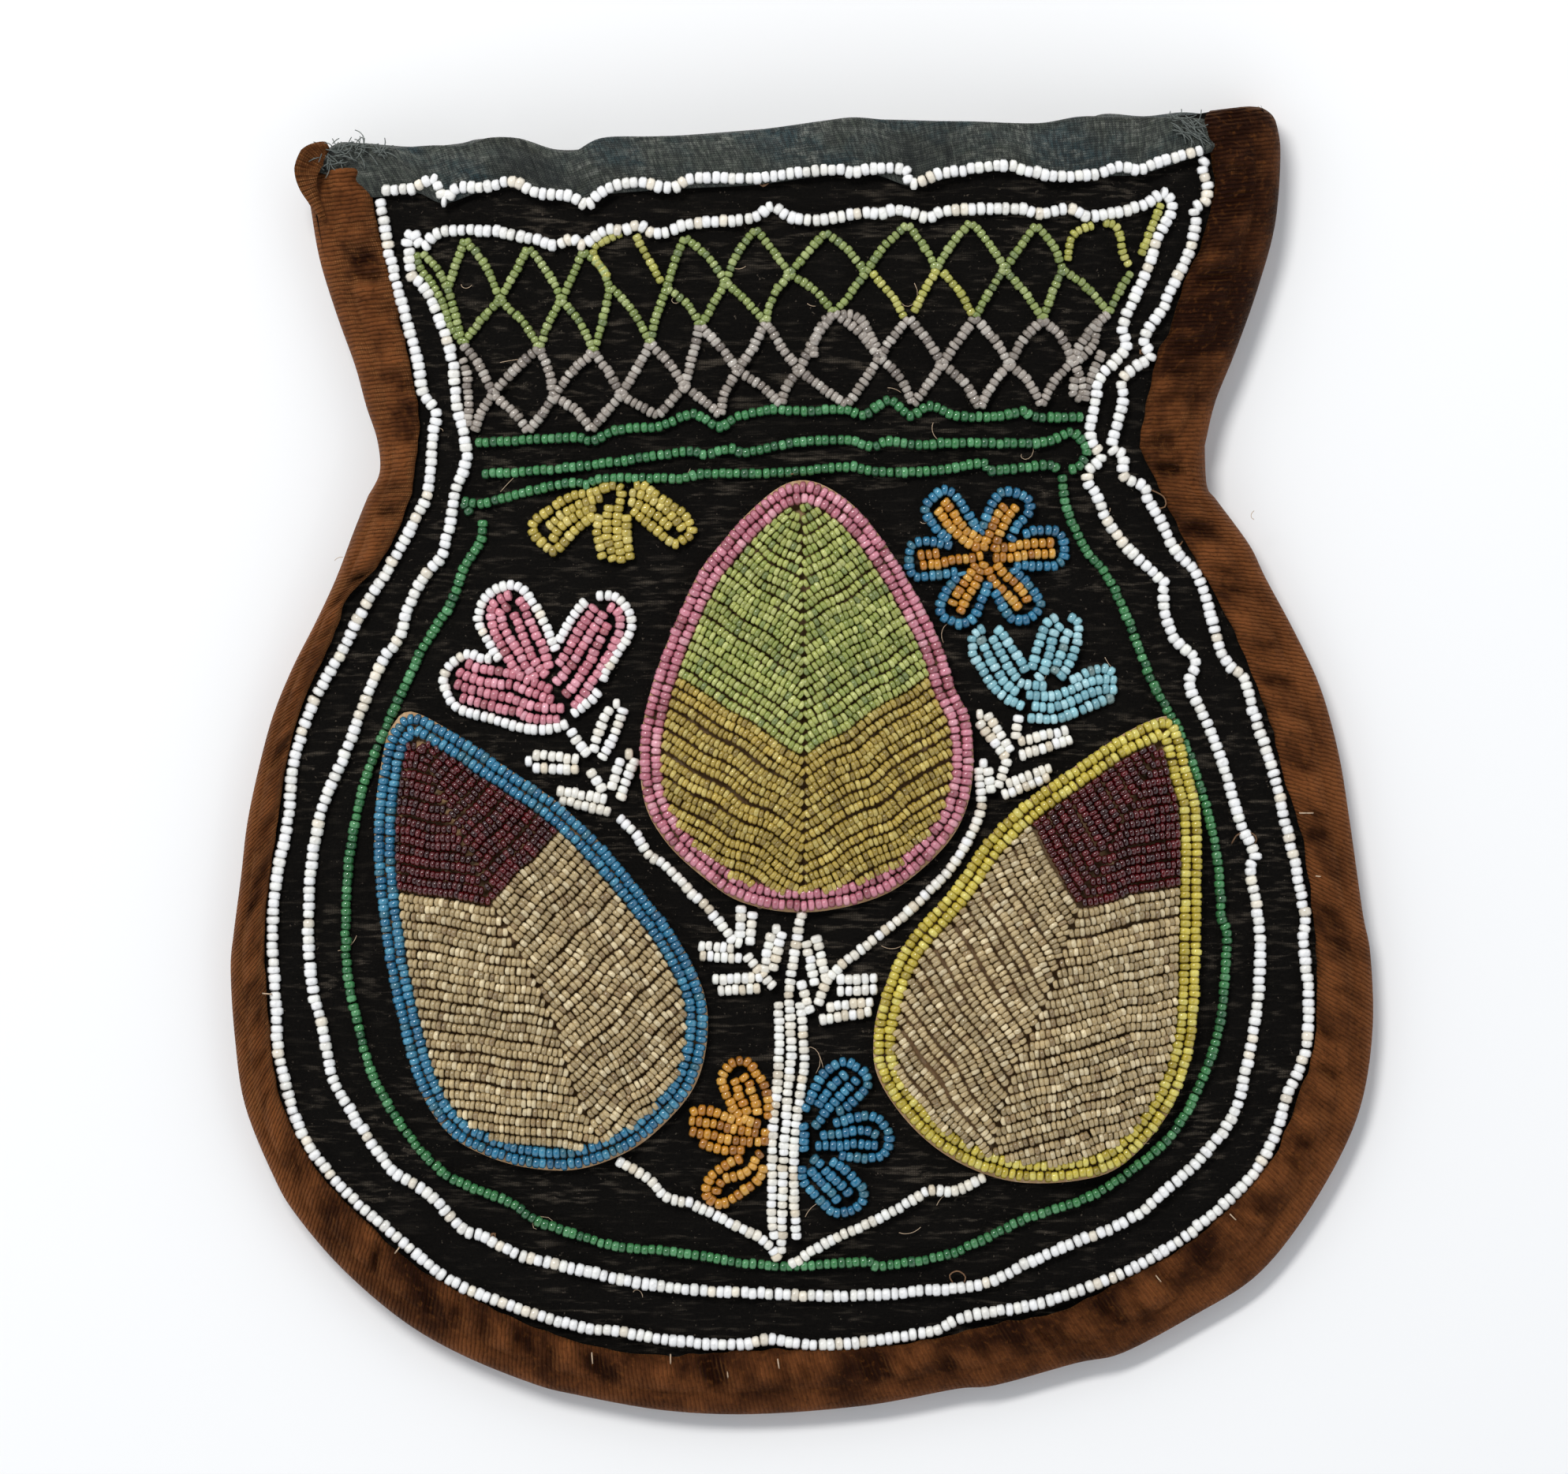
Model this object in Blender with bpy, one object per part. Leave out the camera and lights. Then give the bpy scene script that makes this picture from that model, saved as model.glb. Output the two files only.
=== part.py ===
# Beaded velvet purse lying on its back: +Z up, +Y towards the mouth, metres.
# Outlines are hand-picked points in the picture frame named below; the driving sizes scale them.
import math

import bmesh
import bpy
from mathutils import Vector

# Driving sizes of the whole purse
PURSE_WIDTH = 0.1658
PURSE_HEIGHT = 0.1906
LEFT_PX = 290
RIGHT_PX = 1744
TOP_PX = 124
BOTTOM_PX = 1796

# Cloth layers and the clearance between things that touch
SEAT_GAP = 0.0003
VELVET_THICK = 0.0006
INTERLINING_THICK = 0.0003
LINING_THICK = 0.0003
BINDING_THICK = 0.0006
FOLD_GAP = 0.0006
BINDING_EASE = 0.0006
BINDING_BEAD_CLEAR = 0.0009

# How far the front stands off the back, and over what width it rises
FRONT_PUFF = 0.0055
PUFF_RUN = 0.045
NECK_RISE_RUN = 0.03

# Beads, leaf cards and mouth bands
BEAD_WIDTH = 0.0015
BEAD_HEIGHT = 0.0013
BEAD_SEAT = 0.0005
RIM_WIDTH = 0.0033
CARD_THICK = 0.0006
CARD_LIP = 0.0011
FILL_HEIGHT = 0.0012
FILL_CROWN = 0.0012
RIDGE_DEPTH = 0.0008
RIDGE_PITCH = 0.00132
PETAL_EDGE = 0.0008
MOUTH_BAND_WIDTH = 0.0043

# Bead ribbons narrow to CROWN_SHARE at the top; the others shape corners, rings and petals
CROWN_SHARE = 0.62
MITER_LIMIT_SHARE = 1.3
SMALLEST_SHARE = 0.05
BINDING_SOFT_SHARE = 0.7
PETAL_MIDDLE_SHARE = 0.55
RING_SHARES = (0, 0.22, 0.46, 0.8)
LIP_RING_SHARES = (0, 0.2, 0.42)

# Steps along the curves
CURVE_SUBSTEPS = 8
BODY_STEPS = 56
LIP_STEPS = 14
BODY_PARTS = 48
LIP_PARTS = 7
MOUTH_PARTS = 12
FOLD_PARTS = 9
LEAF_EDGE_STEPS = 30
FILL_PARTS = 2
TRUNK_STEPS = 10
VINE_STEPS = 10
STALK_STEPS = 4
SHARP_DEGREES = 35
PARALLEL_LIMIT = 1e-12
MATCH_DIGITS = 7

for old in list(bpy.data.objects):
    bpy.data.objects.remove(old, do_unlink=True)

# Heights of the layers, worked out from the cloth thicknesses
BACK_VELVET_Z = BINDING_THICK + SEAT_GAP
BACK_INTERLINING_Z = BACK_VELVET_Z + VELVET_THICK + SEAT_GAP
BACK_LINING_Z = BACK_INTERLINING_Z + INTERLINING_THICK + SEAT_GAP
BACK_TOP_Z = BACK_LINING_Z + LINING_THICK
FRONT_LINING_Z = BACK_TOP_Z + SEAT_GAP
FRONT_INTERLINING_Z = FRONT_LINING_Z + LINING_THICK + SEAT_GAP
FRONT_VELVET_Z = FRONT_INTERLINING_Z + INTERLINING_THICK + SEAT_GAP
FRONT_TOP_Z = FRONT_VELVET_Z + VELVET_THICK
RIM_TOP_Z = FRONT_TOP_Z + BINDING_EASE + BINDING_THICK
NECK_RISE = 2 * BINDING_THICK + 3 * SEAT_GAP

LEFT_RIM_PX = [(387, 218), (403, 324), (425, 396), (449, 463), (472, 534), (481, 585), (465, 628)]
BODY_RIM_PX = [
    (465, 628), (447, 672), (408, 759), (369, 846), (326, 973), (303, 1114), (290, 1230), (299, 1364),
    (344, 1492), (432, 1611), (547, 1700), (674, 1757), (800, 1785), (923, 1796), (1060, 1787),
    (1213, 1765), (1366, 1731), (1516, 1670), (1621, 1593), (1700, 1471), (1739, 1351), (1744, 1262),
    (1730, 1157), (1707, 999), (1676, 871), (1632, 779), (1573, 667), (1534, 610), (1529, 564),
]
RIGHT_RIM_PX = [(1529, 564), (1542, 509), (1568, 444), (1596, 365), (1618, 284), (1624, 200), (1612, 124)]
MOUTH_PX = [(387, 218), (455, 184), (580, 180), (770, 174), (960, 162), (1140, 151), (1320, 153),
            (1470, 142), (1560, 126), (1612, 124)]
LEFT_INNER_PX = [(458, 212), (482, 299), (510, 416), (527, 501), (531, 560), (521, 625)]
BODY_INNER_PX = [
    (521, 625), (505, 670), (459, 741), (416, 825), (382, 894), (354, 1019), (340, 1119), (335, 1190),
    (340, 1300), (362, 1407), (433, 1517), (529, 1609), (674, 1683), (815, 1717), (955, 1713),
    (1111, 1711), (1264, 1680), (1391, 1642), (1536, 1555), (1633, 1435), (1666, 1333), (1670, 1262),
    (1666, 1144), (1630, 989), (1582, 838), (1545, 774), (1504, 690), (1456, 592), (1444, 569),
]
RIGHT_INNER_PX = [(1444, 569), (1452, 522), (1479, 432), (1509, 340), (1534, 250), (1532, 150)]
BODY_CENTRE_PX = (1017, 1130)
LIP_CENTRE_PX = (1000, 400)


def at(px, py):
    """Place a picture point on the table, in metres, with the purse's middle at zero."""
    across = (px - LEFT_PX) / (RIGHT_PX - LEFT_PX) - 0.5
    along = 0.5 - (py - TOP_PX) / (BOTTOM_PX - TOP_PX)
    return Vector((across * PURSE_WIDTH, along * PURSE_HEIGHT))


def smooth_curve(points, count, closed=False):
    """Read a Catmull-Rom curve through hand-picked points at even steps of length."""
    knots = [at(*p) for p in points]
    size = len(knots)
    fine = []
    spans = size if closed else size - 1
    for i in range(spans):
        before = knots[(i - 1) % size] if closed or i > 0 else knots[i]
        a = knots[i]
        b = knots[(i + 1) % size]
        after = knots[(i + 2) % size] if closed or i + 2 < size else b
        for step in range(CURVE_SUBSTEPS):
            t = step / CURVE_SUBSTEPS
            fine.append(0.5 * (2 * a + (b - before) * t + (2 * before - 5 * a + 4 * b - after) * t * t
                               + (3 * a - before - 3 * b + after) * t ** 3))
    fine.append(knots[0] if closed else knots[-1])
    lengths = [0.0]
    for a, b in zip(fine, fine[1:]):
        lengths.append(lengths[-1] + (b - a).length)
    out = []
    j = 0
    for k in range(count if closed else count + 1):
        want = lengths[-1] * k / count
        while j < len(fine) - 2 and lengths[j + 1] < want:
            j += 1
        run = lengths[j + 1] - lengths[j]
        share = (want - lengths[j]) / run if run > 0 else 0
        out.append(fine[j].lerp(fine[j + 1], min(max(share, 0), 1)))
    return out


def inset(points, distance, closed=False):
    """Move a curve sideways to its left by a distance."""
    out = []
    last = len(points) - 1
    for i, p in enumerate(points):
        a = points[i - 1] if closed or i > 0 else p
        b = points[(i + 1) % len(points)] if closed or i < last else p
        run = (b - a).normalized()
        out.append(p + Vector((-run.y, run.x)) * distance)
    return out


def ease(share):
    share = min(max(share, 0), 1)
    return share * share * (3 - 2 * share)


# The rim that the front rises from: left lip, body and right lip, but not the open mouth
body_rim = smooth_curve(BODY_RIM_PX, BODY_STEPS)
left_rim = smooth_curve(LEFT_RIM_PX, LIP_STEPS)
right_rim = smooth_curve(RIGHT_RIM_PX, LIP_STEPS)
whole_rim = left_rim + body_rim[1:] + right_rim[1:]
FOLD_LEFT = body_rim[0]
FOLD_RIGHT = body_rim[-1]
fold_run = (FOLD_RIGHT - FOLD_LEFT).normalized()
fold_up = Vector((-fold_run.y, fold_run.x))


def rim_distance(p):
    best = None
    for a, b in zip(whole_rim, whole_rim[1:]):
        ab = b - a
        t = min(max((p - a).dot(ab) / ab.length_squared, 0), 1)
        d = (p - a - ab * t).length
        best = d if best is None or d < best else best
    return best


def rise(p):
    """Height that the front gains over its rim: the puffed pocket and the lift at the neck."""
    above_fold = (p - FOLD_LEFT).dot(fold_up)
    neck = NECK_RISE * ease(1 + above_fold / NECK_RISE_RUN)
    return FRONT_PUFF * ease(rim_distance(p) / PUFF_RUN) + neck


def level(p):
    return 0.0


def make_material(name, colour, roughness, metallic=0.0):
    material = bpy.data.materials.new(name)
    material.use_nodes = True
    shader = material.node_tree.nodes["Principled BSDF"]
    shader.inputs["Base Color"].default_value = (*colour, 1)
    shader.inputs["Roughness"].default_value = roughness
    shader.inputs["Metallic"].default_value = metallic
    return material


BLACK_VELVET = make_material("black_velvet", (0.006, 0.005, 0.005), 0.95)
BROWN_VELVET = make_material("brown_velvet", (0.12, 0.045, 0.015), 0.9)
BLUE_CLOTH = make_material("blue_grey_cloth", (0.07, 0.1, 0.1), 0.9)
UNDYED_CLOTH = make_material("undyed_cloth", (0.5, 0.4, 0.27), 0.95)
LEAF_CARD = make_material("leaf_card", (0.4, 0.23, 0.1), 0.85)
WHITE_BEADS = make_material("white_beads", (0.88, 0.87, 0.82), 0.35)
GREEN_BEADS = make_material("green_beads", (0.045, 0.17, 0.06), 0.2)
LIGHT_GREEN_BEADS = make_material("light_green_beads", (0.2, 0.3, 0.1), 0.2)
CRYSTAL_BEADS = make_material("crystal_beads", (0.45, 0.38, 0.25), 0.15)
PINK_BEADS = make_material("pink_beads", (0.5, 0.2, 0.25), 0.25)
BLUE_BEADS = make_material("blue_beads", (0.04, 0.19, 0.35), 0.2)
YELLOW_BEADS = make_material("yellow_beads", (0.5, 0.4, 0.08), 0.2)
LEAF_GREEN_BEADS = make_material("leaf_green_beads", (0.2, 0.27, 0.08), 0.2)
GOLD_BEADS = make_material("gold_beads", (0.42, 0.34, 0.07), 0.2)
RED_BEADS = make_material("dark_red_beads", (0.14, 0.015, 0.015), 0.15)
AMBER_BEADS = make_material("amber_beads", (0.5, 0.24, 0.03), 0.2)
TURQUOISE_BEADS = make_material("turquoise_beads", (0.22, 0.5, 0.55), 0.3)


def finish_object(name, bm, material):
    bmesh.ops.recalc_face_normals(bm, faces=bm.faces)
    mesh = bpy.data.meshes.new(name)
    bm.to_mesh(mesh)
    bm.free()
    mesh.shade_smooth()
    mesh.set_sharp_from_angle(angle=math.radians(SHARP_DEGREES))
    mesh.materials.append(material)
    node = bpy.data.objects.new(name, mesh)
    bpy.context.collection.objects.link(node)
    return node


def plate(name, points, faces, low, high, material, ground=rise, top_points=None):
    """Extrude flat faces into a closed sheet that follows the ground height."""
    bm = bmesh.new()
    verts = [bm.verts.new((p.x, p.y, 0)) for p in points]
    order = {v: i for i, v in enumerate(verts)}
    bottom = [bm.faces.new([verts[i] for i in f]) for f in faces]
    bm.verts.index_update()
    before = list(bm.verts)
    made = bmesh.ops.extrude_face_region(bm, geom=bottom, use_keep_orig=True)
    tops = [g for g in made["geom"] if isinstance(g, bmesh.types.BMVert)]
    nearest = {}
    for v in before:
        nearest[(round(v.co.x, MATCH_DIGITS), round(v.co.y, MATCH_DIGITS))] = order[v]
    for v in tops:
        i = nearest[(round(v.co.x, MATCH_DIGITS), round(v.co.y, MATCH_DIGITS))]
        p = top_points[i] if top_points else points[i]
        extra = high(i) if callable(high) else high
        v.co = Vector((p.x, p.y, ground(points[i]) + low + extra))
    for v in before:
        p = points[order[v]]
        v.co.z = ground(p) + low
    return finish_object(name, bm, material)


def ring_faces(count, rings, hub):
    faces = []
    for r in range(rings - 1):
        for i in range(count):
            j = (i + 1) % count
            faces.append((r * count + i, r * count + j, (r + 1) * count + j, (r + 1) * count + i))
    last = (rings - 1) * count
    for i in range(count):
        faces.append((last + i, last + (i + 1) % count, hub))
    return faces


def ringed_points(edge, centre, depths):
    """Rings inside an edge at even depths, closing on one centre point."""
    points = []
    for depth in depths:
        for q in edge:
            arm = q - centre
            points.append(centre + arm * max(1 - depth / arm.length, SMALLEST_SHARE))
    points.append(centre)
    return points


# Cloth panels
EDGE_INSET = BINDING_THICK + 2 * SEAT_GAP
RING_DEPTHS = [PUFF_RUN * share for share in RING_SHARES]
LIP_RING_DEPTHS = [PUFF_RUN * share for share in LIP_RING_SHARES]


def between(a, b, parts):
    return [a.lerp(b, k / parts) for k in range(1, parts)]


mouth_edge = smooth_curve(MOUTH_PX, MOUTH_PARTS)


def body_panel_edge():
    inner = inset(smooth_curve(BODY_RIM_PX, BODY_PARTS), EDGE_INSET)
    left = inner[0] - fold_up * FOLD_GAP / 2
    right = inner[-1] - fold_up * FOLD_GAP / 2
    return [left] + inner[1:-1] + [right] + between(right, left, FOLD_PARTS)


def lip_panel_edge():
    left = inset(smooth_curve(LEFT_RIM_PX, LIP_PARTS), EDGE_INSET)
    right = inset(smooth_curve(RIGHT_RIM_PX, LIP_PARTS), EDGE_INSET)
    mouth = inset(mouth_edge, -EDGE_INSET)
    left_low = left[-1] + fold_up * FOLD_GAP / 2
    right_low = right[0] + fold_up * FOLD_GAP / 2
    top = list(reversed(mouth[1:-1]))
    fold = [left_low] + between(left_low, right_low, FOLD_PARTS) + [right_low]
    return left[1:-1] + fold + right[1:-1] + top


def front_panels():
    body_edge = body_panel_edge()
    body_points = ringed_points(body_edge, at(*BODY_CENTRE_PX), RING_DEPTHS)
    body_faces = ring_faces(len(body_edge), len(RING_DEPTHS), len(body_points) - 1)
    lip_edge = lip_panel_edge()
    lip_points = ringed_points(lip_edge, at(*LIP_CENTRE_PX), LIP_RING_DEPTHS)
    lip_faces = ring_faces(len(lip_edge), len(LIP_RING_DEPTHS), len(lip_points) - 1)
    layers = [
        ("front_velvet", FRONT_VELVET_Z, VELVET_THICK, BLACK_VELVET),
        ("front_interlining", FRONT_INTERLINING_Z, INTERLINING_THICK, UNDYED_CLOTH),
        ("front_lining", FRONT_LINING_Z, LINING_THICK, BLUE_CLOTH),
    ]
    for name, z, thick, material in layers:
        plate(name, body_points, body_faces, z, thick, material)
        plate(name + "_lip", lip_points, lip_faces, z, thick, material)


def back_panels():
    edge = inset(smooth_curve(LEFT_RIM_PX, LIP_PARTS), EDGE_INSET)[1:]
    edge += inset(smooth_curve(BODY_RIM_PX, BODY_PARTS), EDGE_INSET)[1:-1]
    edge += inset(smooth_curve(RIGHT_RIM_PX, LIP_PARTS), EDGE_INSET)[:-1]
    edge += list(reversed(inset(mouth_edge, -EDGE_INSET)[1:-1]))
    face = [tuple(range(len(edge)))]
    plate("back_velvet", edge, face, BACK_VELVET_Z, VELVET_THICK, BLACK_VELVET, level)
    plate("back_interlining", edge, face, BACK_INTERLINING_Z, INTERLINING_THICK, UNDYED_CLOTH, level)
    plate("back_lining", edge, face, BACK_LINING_Z, LINING_THICK, BLUE_CLOTH, level)


# Folded strips that bind the cut edges
def channel(name, outer, inner, low, top, material, low_ground, top_ground):
    """Sweep a folded strip: two legs and a rounded outer wall round the edge of the cloth."""
    bm = bmesh.new()
    rings = []
    t = BINDING_THICK
    for a, b in zip(outer, inner):
        side = (b - a).normalized()
        near = a + side * t
        soft = a + side * t * BINDING_SOFT_SHARE
        z0 = low_ground(a) + low
        z1 = top_ground(a) + top
        zi0 = low_ground(b) + low
        zi1 = top_ground(b) + top
        section = [
            (soft, z0), (b, zi0), (b, zi0 + t), (near, z0 + t), (near, z1 - t), (b, zi1 - t),
            (b, zi1), (soft, z1), (a, z1 - t), (a, z0 + t),
        ]
        rings.append([bm.verts.new((p.x, p.y, z)) for p, z in section])
    size = len(rings[0])
    for r, s in zip(rings, rings[1:]):
        for i in range(size):
            j = (i + 1) % size
            bm.faces.new((r[i], r[j], s[j], s[i]))
    bm.faces.new(rings[0])
    bm.faces.new(list(reversed(rings[-1])))
    return finish_object(name, bm, material)


def trimmed(points, start=0.0, end=0.0):
    """Pull the two ends of a curve in along itself."""
    out = list(points)
    if start:
        out[0] = out[0] + (out[1] - out[0]).normalized() * start
    if end:
        out[-1] = out[-1] + (out[-2] - out[-1]).normalized() * end
    return out


def bindings():
    half_gap = FOLD_GAP / 2
    outer = trimmed(smooth_curve(BODY_RIM_PX, BODY_PARTS), half_gap, half_gap)
    inner = trimmed(inset(smooth_curve(BODY_INNER_PX, BODY_PARTS), -BINDING_BEAD_CLEAR), half_gap, half_gap)
    channel("body_binding", outer, inner, 0.0, RIM_TOP_Z, BROWN_VELVET, level, rise)
    back_top = BACK_TOP_Z + SEAT_GAP + BINDING_THICK
    front_low = back_top + SEAT_GAP - NECK_RISE
    sides = [("left", LEFT_RIM_PX, LEFT_INNER_PX, 0.0, half_gap),
             ("right", RIGHT_RIM_PX, RIGHT_INNER_PX, half_gap, 0.0)]
    for side, rim, inside, start, end in sides:
        outer = trimmed(smooth_curve(rim, LIP_PARTS), start, end)
        inner = trimmed(inset(smooth_curve(inside, LIP_PARTS), -BINDING_BEAD_CLEAR), start, end)
        channel("back_lip_binding_" + side, outer, inner, 0.0, back_top, BROWN_VELVET, level, level)
        channel("lip_binding_" + side, outer, inner, front_low, RIM_TOP_Z, BROWN_VELVET, rise, rise)
    mouth = mouth_edge[1:-1]
    band = inset(mouth, -MOUTH_BAND_WIDTH)
    channel("back_mouth_binding", mouth, band, 0.0, back_top, BLUE_CLOTH, level, level)
    channel("front_mouth_binding", mouth, band, front_low, RIM_TOP_Z, BLUE_CLOTH, rise, rise)


# Rows of beads couched down on the velvet, as ribbons that branch and join
def ribbon(name, points, edges, material, low, width=BEAD_WIDTH, height=BEAD_HEIGHT):
    """Give a branching line a width: corners sit where the sides of neighbouring runs meet."""
    joined = {i: [] for i in range(len(points))}
    for a, b in edges:
        joined[a].append(b)
        joined[b].append(a)
    flat = []
    middle = []
    corner = {}
    half = width / 2
    for i, others in joined.items():
        p = points[i]
        turn = {o: math.atan2(points[o].y - p.y, points[o].x - p.x) for o in others}
        others.sort(key=lambda o: turn[o])
        for k, o in enumerate(others):
            following = others[(k + 1) % len(others)]
            sweep = (turn[following] - turn[o]) % (2 * math.pi)
            if following == o:
                corner[(i, o, "left")] = len(flat)
                flat.append(p + Vector((-math.sin(turn[o]), math.cos(turn[o]))) * half)
                middle.append(p)
                corner[(i, o, "right")] = len(flat)
                flat.append(p + Vector((math.sin(turn[o]), -math.cos(turn[o]))) * half)
                middle.append(p)
                continue
            reach = 1 / max(math.sin(sweep / 2), SMALLEST_SHARE)
            if sweep > math.pi:
                reach = min(reach, MITER_LIMIT_SHARE)
            aim = turn[o] + sweep / 2
            corner[(i, o, "left")] = len(flat)
            corner[(i, following, "right")] = len(flat)
            flat.append(p + Vector((math.cos(aim), math.sin(aim))) * half * reach)
            middle.append(p)
    faces = []
    for a, b in edges:
        faces.append((corner[(a, b, "right")], corner[(b, a, "left")],
                      corner[(b, a, "right")], corner[(a, b, "left")]))
    for i, others in joined.items():
        if len(others) > 2:
            faces.append(tuple(corner[(i, o, "left")] for o in others))
    crown = [m.lerp(p, CROWN_SHARE) for m, p in zip(middle, flat)]
    return plate(name, flat, faces, low, height, material, rise, crown)


BEADS_ON_VELVET = FRONT_TOP_Z + BEAD_SEAT


def bead_line(name, points_px, count, material, closed=False):
    """Couch one row of beads along a smoothed line."""
    points = smooth_curve(points_px, count, closed)
    total = len(points)
    edges = [(i, i + 1) for i in range(total - 1)]
    if closed:
        edges.append((total - 1, 0))
    return ribbon(name, points, edges, material, BEADS_ON_VELVET)


WHITE_OUTER_LIP_PX = [
    (543, 606), (549, 560), (549, 520), (530, 462), (510, 385), (490, 302), (484, 252), (520, 244),
    (552, 232), (566, 250), (600, 238), (650, 232), (690, 248), (740, 253), (790, 239), (850, 240),
    (900, 229), (960, 230), (1030, 222), (1100, 220), (1146, 220), (1162, 232), (1200, 222), (1260, 213),
    (1330, 224), (1420, 213), (1490, 202), (1520, 198), (1528, 222), (1528, 246), (1516, 272),
    (1508, 320), (1485, 370), (1456, 421), (1452, 452), (1427, 482), (1423, 520), (1413, 552),
]
WHITE_OUTER_PX = [
    (530, 650), (498, 713), (449, 790), (426, 835), (395, 894), (372, 963), (363, 1045), (346, 1157),
    (349, 1260), (353, 1339), (374, 1420), (423, 1497), (506, 1573), (595, 1637), (713, 1679),
    (843, 1700), (930, 1705), (1034, 1705), (1131, 1696), (1226, 1671), (1330, 1651), (1432, 1612),
    (1526, 1551), (1590, 1489), (1629, 1405), (1655, 1333), (1658, 1262), (1653, 1139), (1630, 1040),
    (1597, 922), (1582, 868), (1549, 826), (1537, 784), (1520, 744), (1491, 698), (1461, 650),
    (1440, 612), (1421, 586),
]
WHITE_INNER_LIP_PX = [
    (587, 604), (590, 575), (581, 530), (574, 460), (556, 402), (530, 358), (520, 314), (540, 301),
    (575, 291), (650, 298), (702, 310), (760, 302), (818, 294), (900, 281), (966, 268), (1000, 276),
    (1064, 276), (1148, 270), (1200, 268), (1289, 266), (1373, 274), (1447, 261), (1476, 250),
    (1481, 268), (1466, 302), (1449, 355), (1424, 412), (1420, 444), (1395, 478), (1385, 524),
    (1384, 550),
]
WHITE_INNER_PX = [
    (577, 642), (571, 664), (559, 705), (533, 744), (508, 792), (469, 871), (425, 984), (395, 1086),
    (390, 1186), (402, 1277), (419, 1362), (456, 1428), (520, 1499), (585, 1558), (687, 1600),
    (794, 1625), (889, 1641), (1042, 1645), (1149, 1642), (1249, 1626), (1330, 1588), (1432, 1547),
    (1523, 1469), (1578, 1377), (1596, 1262), (1592, 1129), (1588, 1080), (1569, 1017), (1528, 907),
    (1512, 858), (1508, 832), (1484, 796), (1472, 745), (1433, 698), (1394, 640), (1384, 604),
    (1388, 590),
]
GREEN_LINE_PX = [
    (610, 685), (579, 744), (549, 800), (510, 869), (476, 953), (447, 1055), (439, 1183), (452, 1293),
    (487, 1392), (550, 1476), (632, 1520), (728, 1563), (850, 1587), (975, 1605), (1095, 1600),
    (1208, 1588), (1297, 1547), (1412, 1501), (1503, 1415), (1546, 1303), (1552, 1190), (1545, 1070),
    (1526, 990),
    (1511, 943), (1473, 882), (1434, 805), (1402, 728), (1361, 664), (1342, 614), (1310, 594),
    (1250, 596), (1150, 600), (1030, 602), (960, 604), (870, 606), (763, 610), (699, 619), (645, 634),
    (612, 652),
]
GREEN_ROW_UPPER_PX = [
    (606, 562), (702, 557), (760, 551), (850, 536), (880, 529), (915, 540), (950, 527), (1049, 519),
    (1095, 524), (1125, 513), (1152, 525), (1190, 520), (1260, 528), (1366, 529),
]
GREEN_ROW_MIDDLE_PX = [
    (611, 599), (686, 596), (791, 584), (860, 574), (950, 571), (1059, 558), (1110, 565), (1166, 564),
    (1240, 562), (1330, 556), (1360, 552),
]


BORDER_LINES = [
    ("white_outer_line_lip", WHITE_OUTER_LIP_PX, 60, WHITE_BEADS, False),
    ("white_outer_line", WHITE_OUTER_PX, 64, WHITE_BEADS, False),
    ("white_inner_line_lip", WHITE_INNER_LIP_PX, 50, WHITE_BEADS, False),
    ("white_inner_line", WHITE_INNER_PX, 58, WHITE_BEADS, False),
    ("green_line", GREEN_LINE_PX, 58, GREEN_BEADS, True),
    ("green_row_upper", GREEN_ROW_UPPER_PX, 20, GREEN_BEADS, False),
    ("green_row_middle", GREEN_ROW_MIDDLE_PX, 16, GREEN_BEADS, False),
]


def border_lines():
    for name, points_px, steps, material, closed in BORDER_LINES:
        bead_line(name, points_px, steps, material, closed)


# Open nets of looped beads on the lip
NET_TOPS_PX = [(538, 323), (592, 308), (670, 323), (740, 331), (797, 316), (868, 306), (958, 296),
               (1046, 298), (1150, 290), (1230, 287), (1313, 289), (1392, 292), (1456, 290)]
NET_MIDS_PX = [(568, 365), (634, 381), (712, 381), (774, 365), (846, 367), (920, 360), (1001, 349),
               (1097, 347), (1187, 342), (1273, 342), (1347, 342), (1430, 345)]
NET_JOINTS_PX = [(599, 436), (684, 442), (753, 447), (825, 437), (888, 414), (971, 410), (1057, 398),
                 (1152, 405), (1235, 404), (1322, 406), (1392, 397)]
NET_STEP_PX = 21
LOW_MIDS_PX = [(640, 500), (712, 504), (788, 501), (868, 491), (936, 471), (1013, 466), (1112, 455),
               (1194, 463), (1279, 463), (1352, 458)]
LOW_JOINTS_PX = [(612, 541), (675, 536), (750, 533), (835, 516), (914, 519), (990, 501), (1074, 499),
                 (1157, 505), (1241, 507), (1320, 508), (1360, 505)]


def bead_nets():
    tops = len(NET_TOPS_PX)
    mids = len(NET_MIDS_PX)
    points = [at(*p) for p in NET_TOPS_PX + NET_MIDS_PX + NET_JOINTS_PX]
    edges = []
    for i in range(mids):
        edges += [(i, tops + i), (i + 1, tops + i)]
    for i in range(len(NET_JOINTS_PX)):
        edges += [(tops + i, tops + mids + i), (tops + i + 1, tops + mids + i)]
    ribbon("green_net", points, edges, LIGHT_GREEN_BEADS, BEADS_ON_VELVET)
    heads = [(x, y + NET_STEP_PX) for x, y in NET_JOINTS_PX]
    points = [at(*p) for p in heads + LOW_MIDS_PX + LOW_JOINTS_PX]
    edges = []
    head_count = len(heads)
    mid_count = len(LOW_MIDS_PX)
    for i in range(mid_count):
        edges += [(i, head_count + i), (i + 1, head_count + i)]
        low = head_count + mid_count + i
        edges += [(head_count + i, low), (head_count + i, low + 1)]
    ribbon("crystal_net", points, edges, CRYSTAL_BEADS, BEADS_ON_VELVET)


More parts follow.
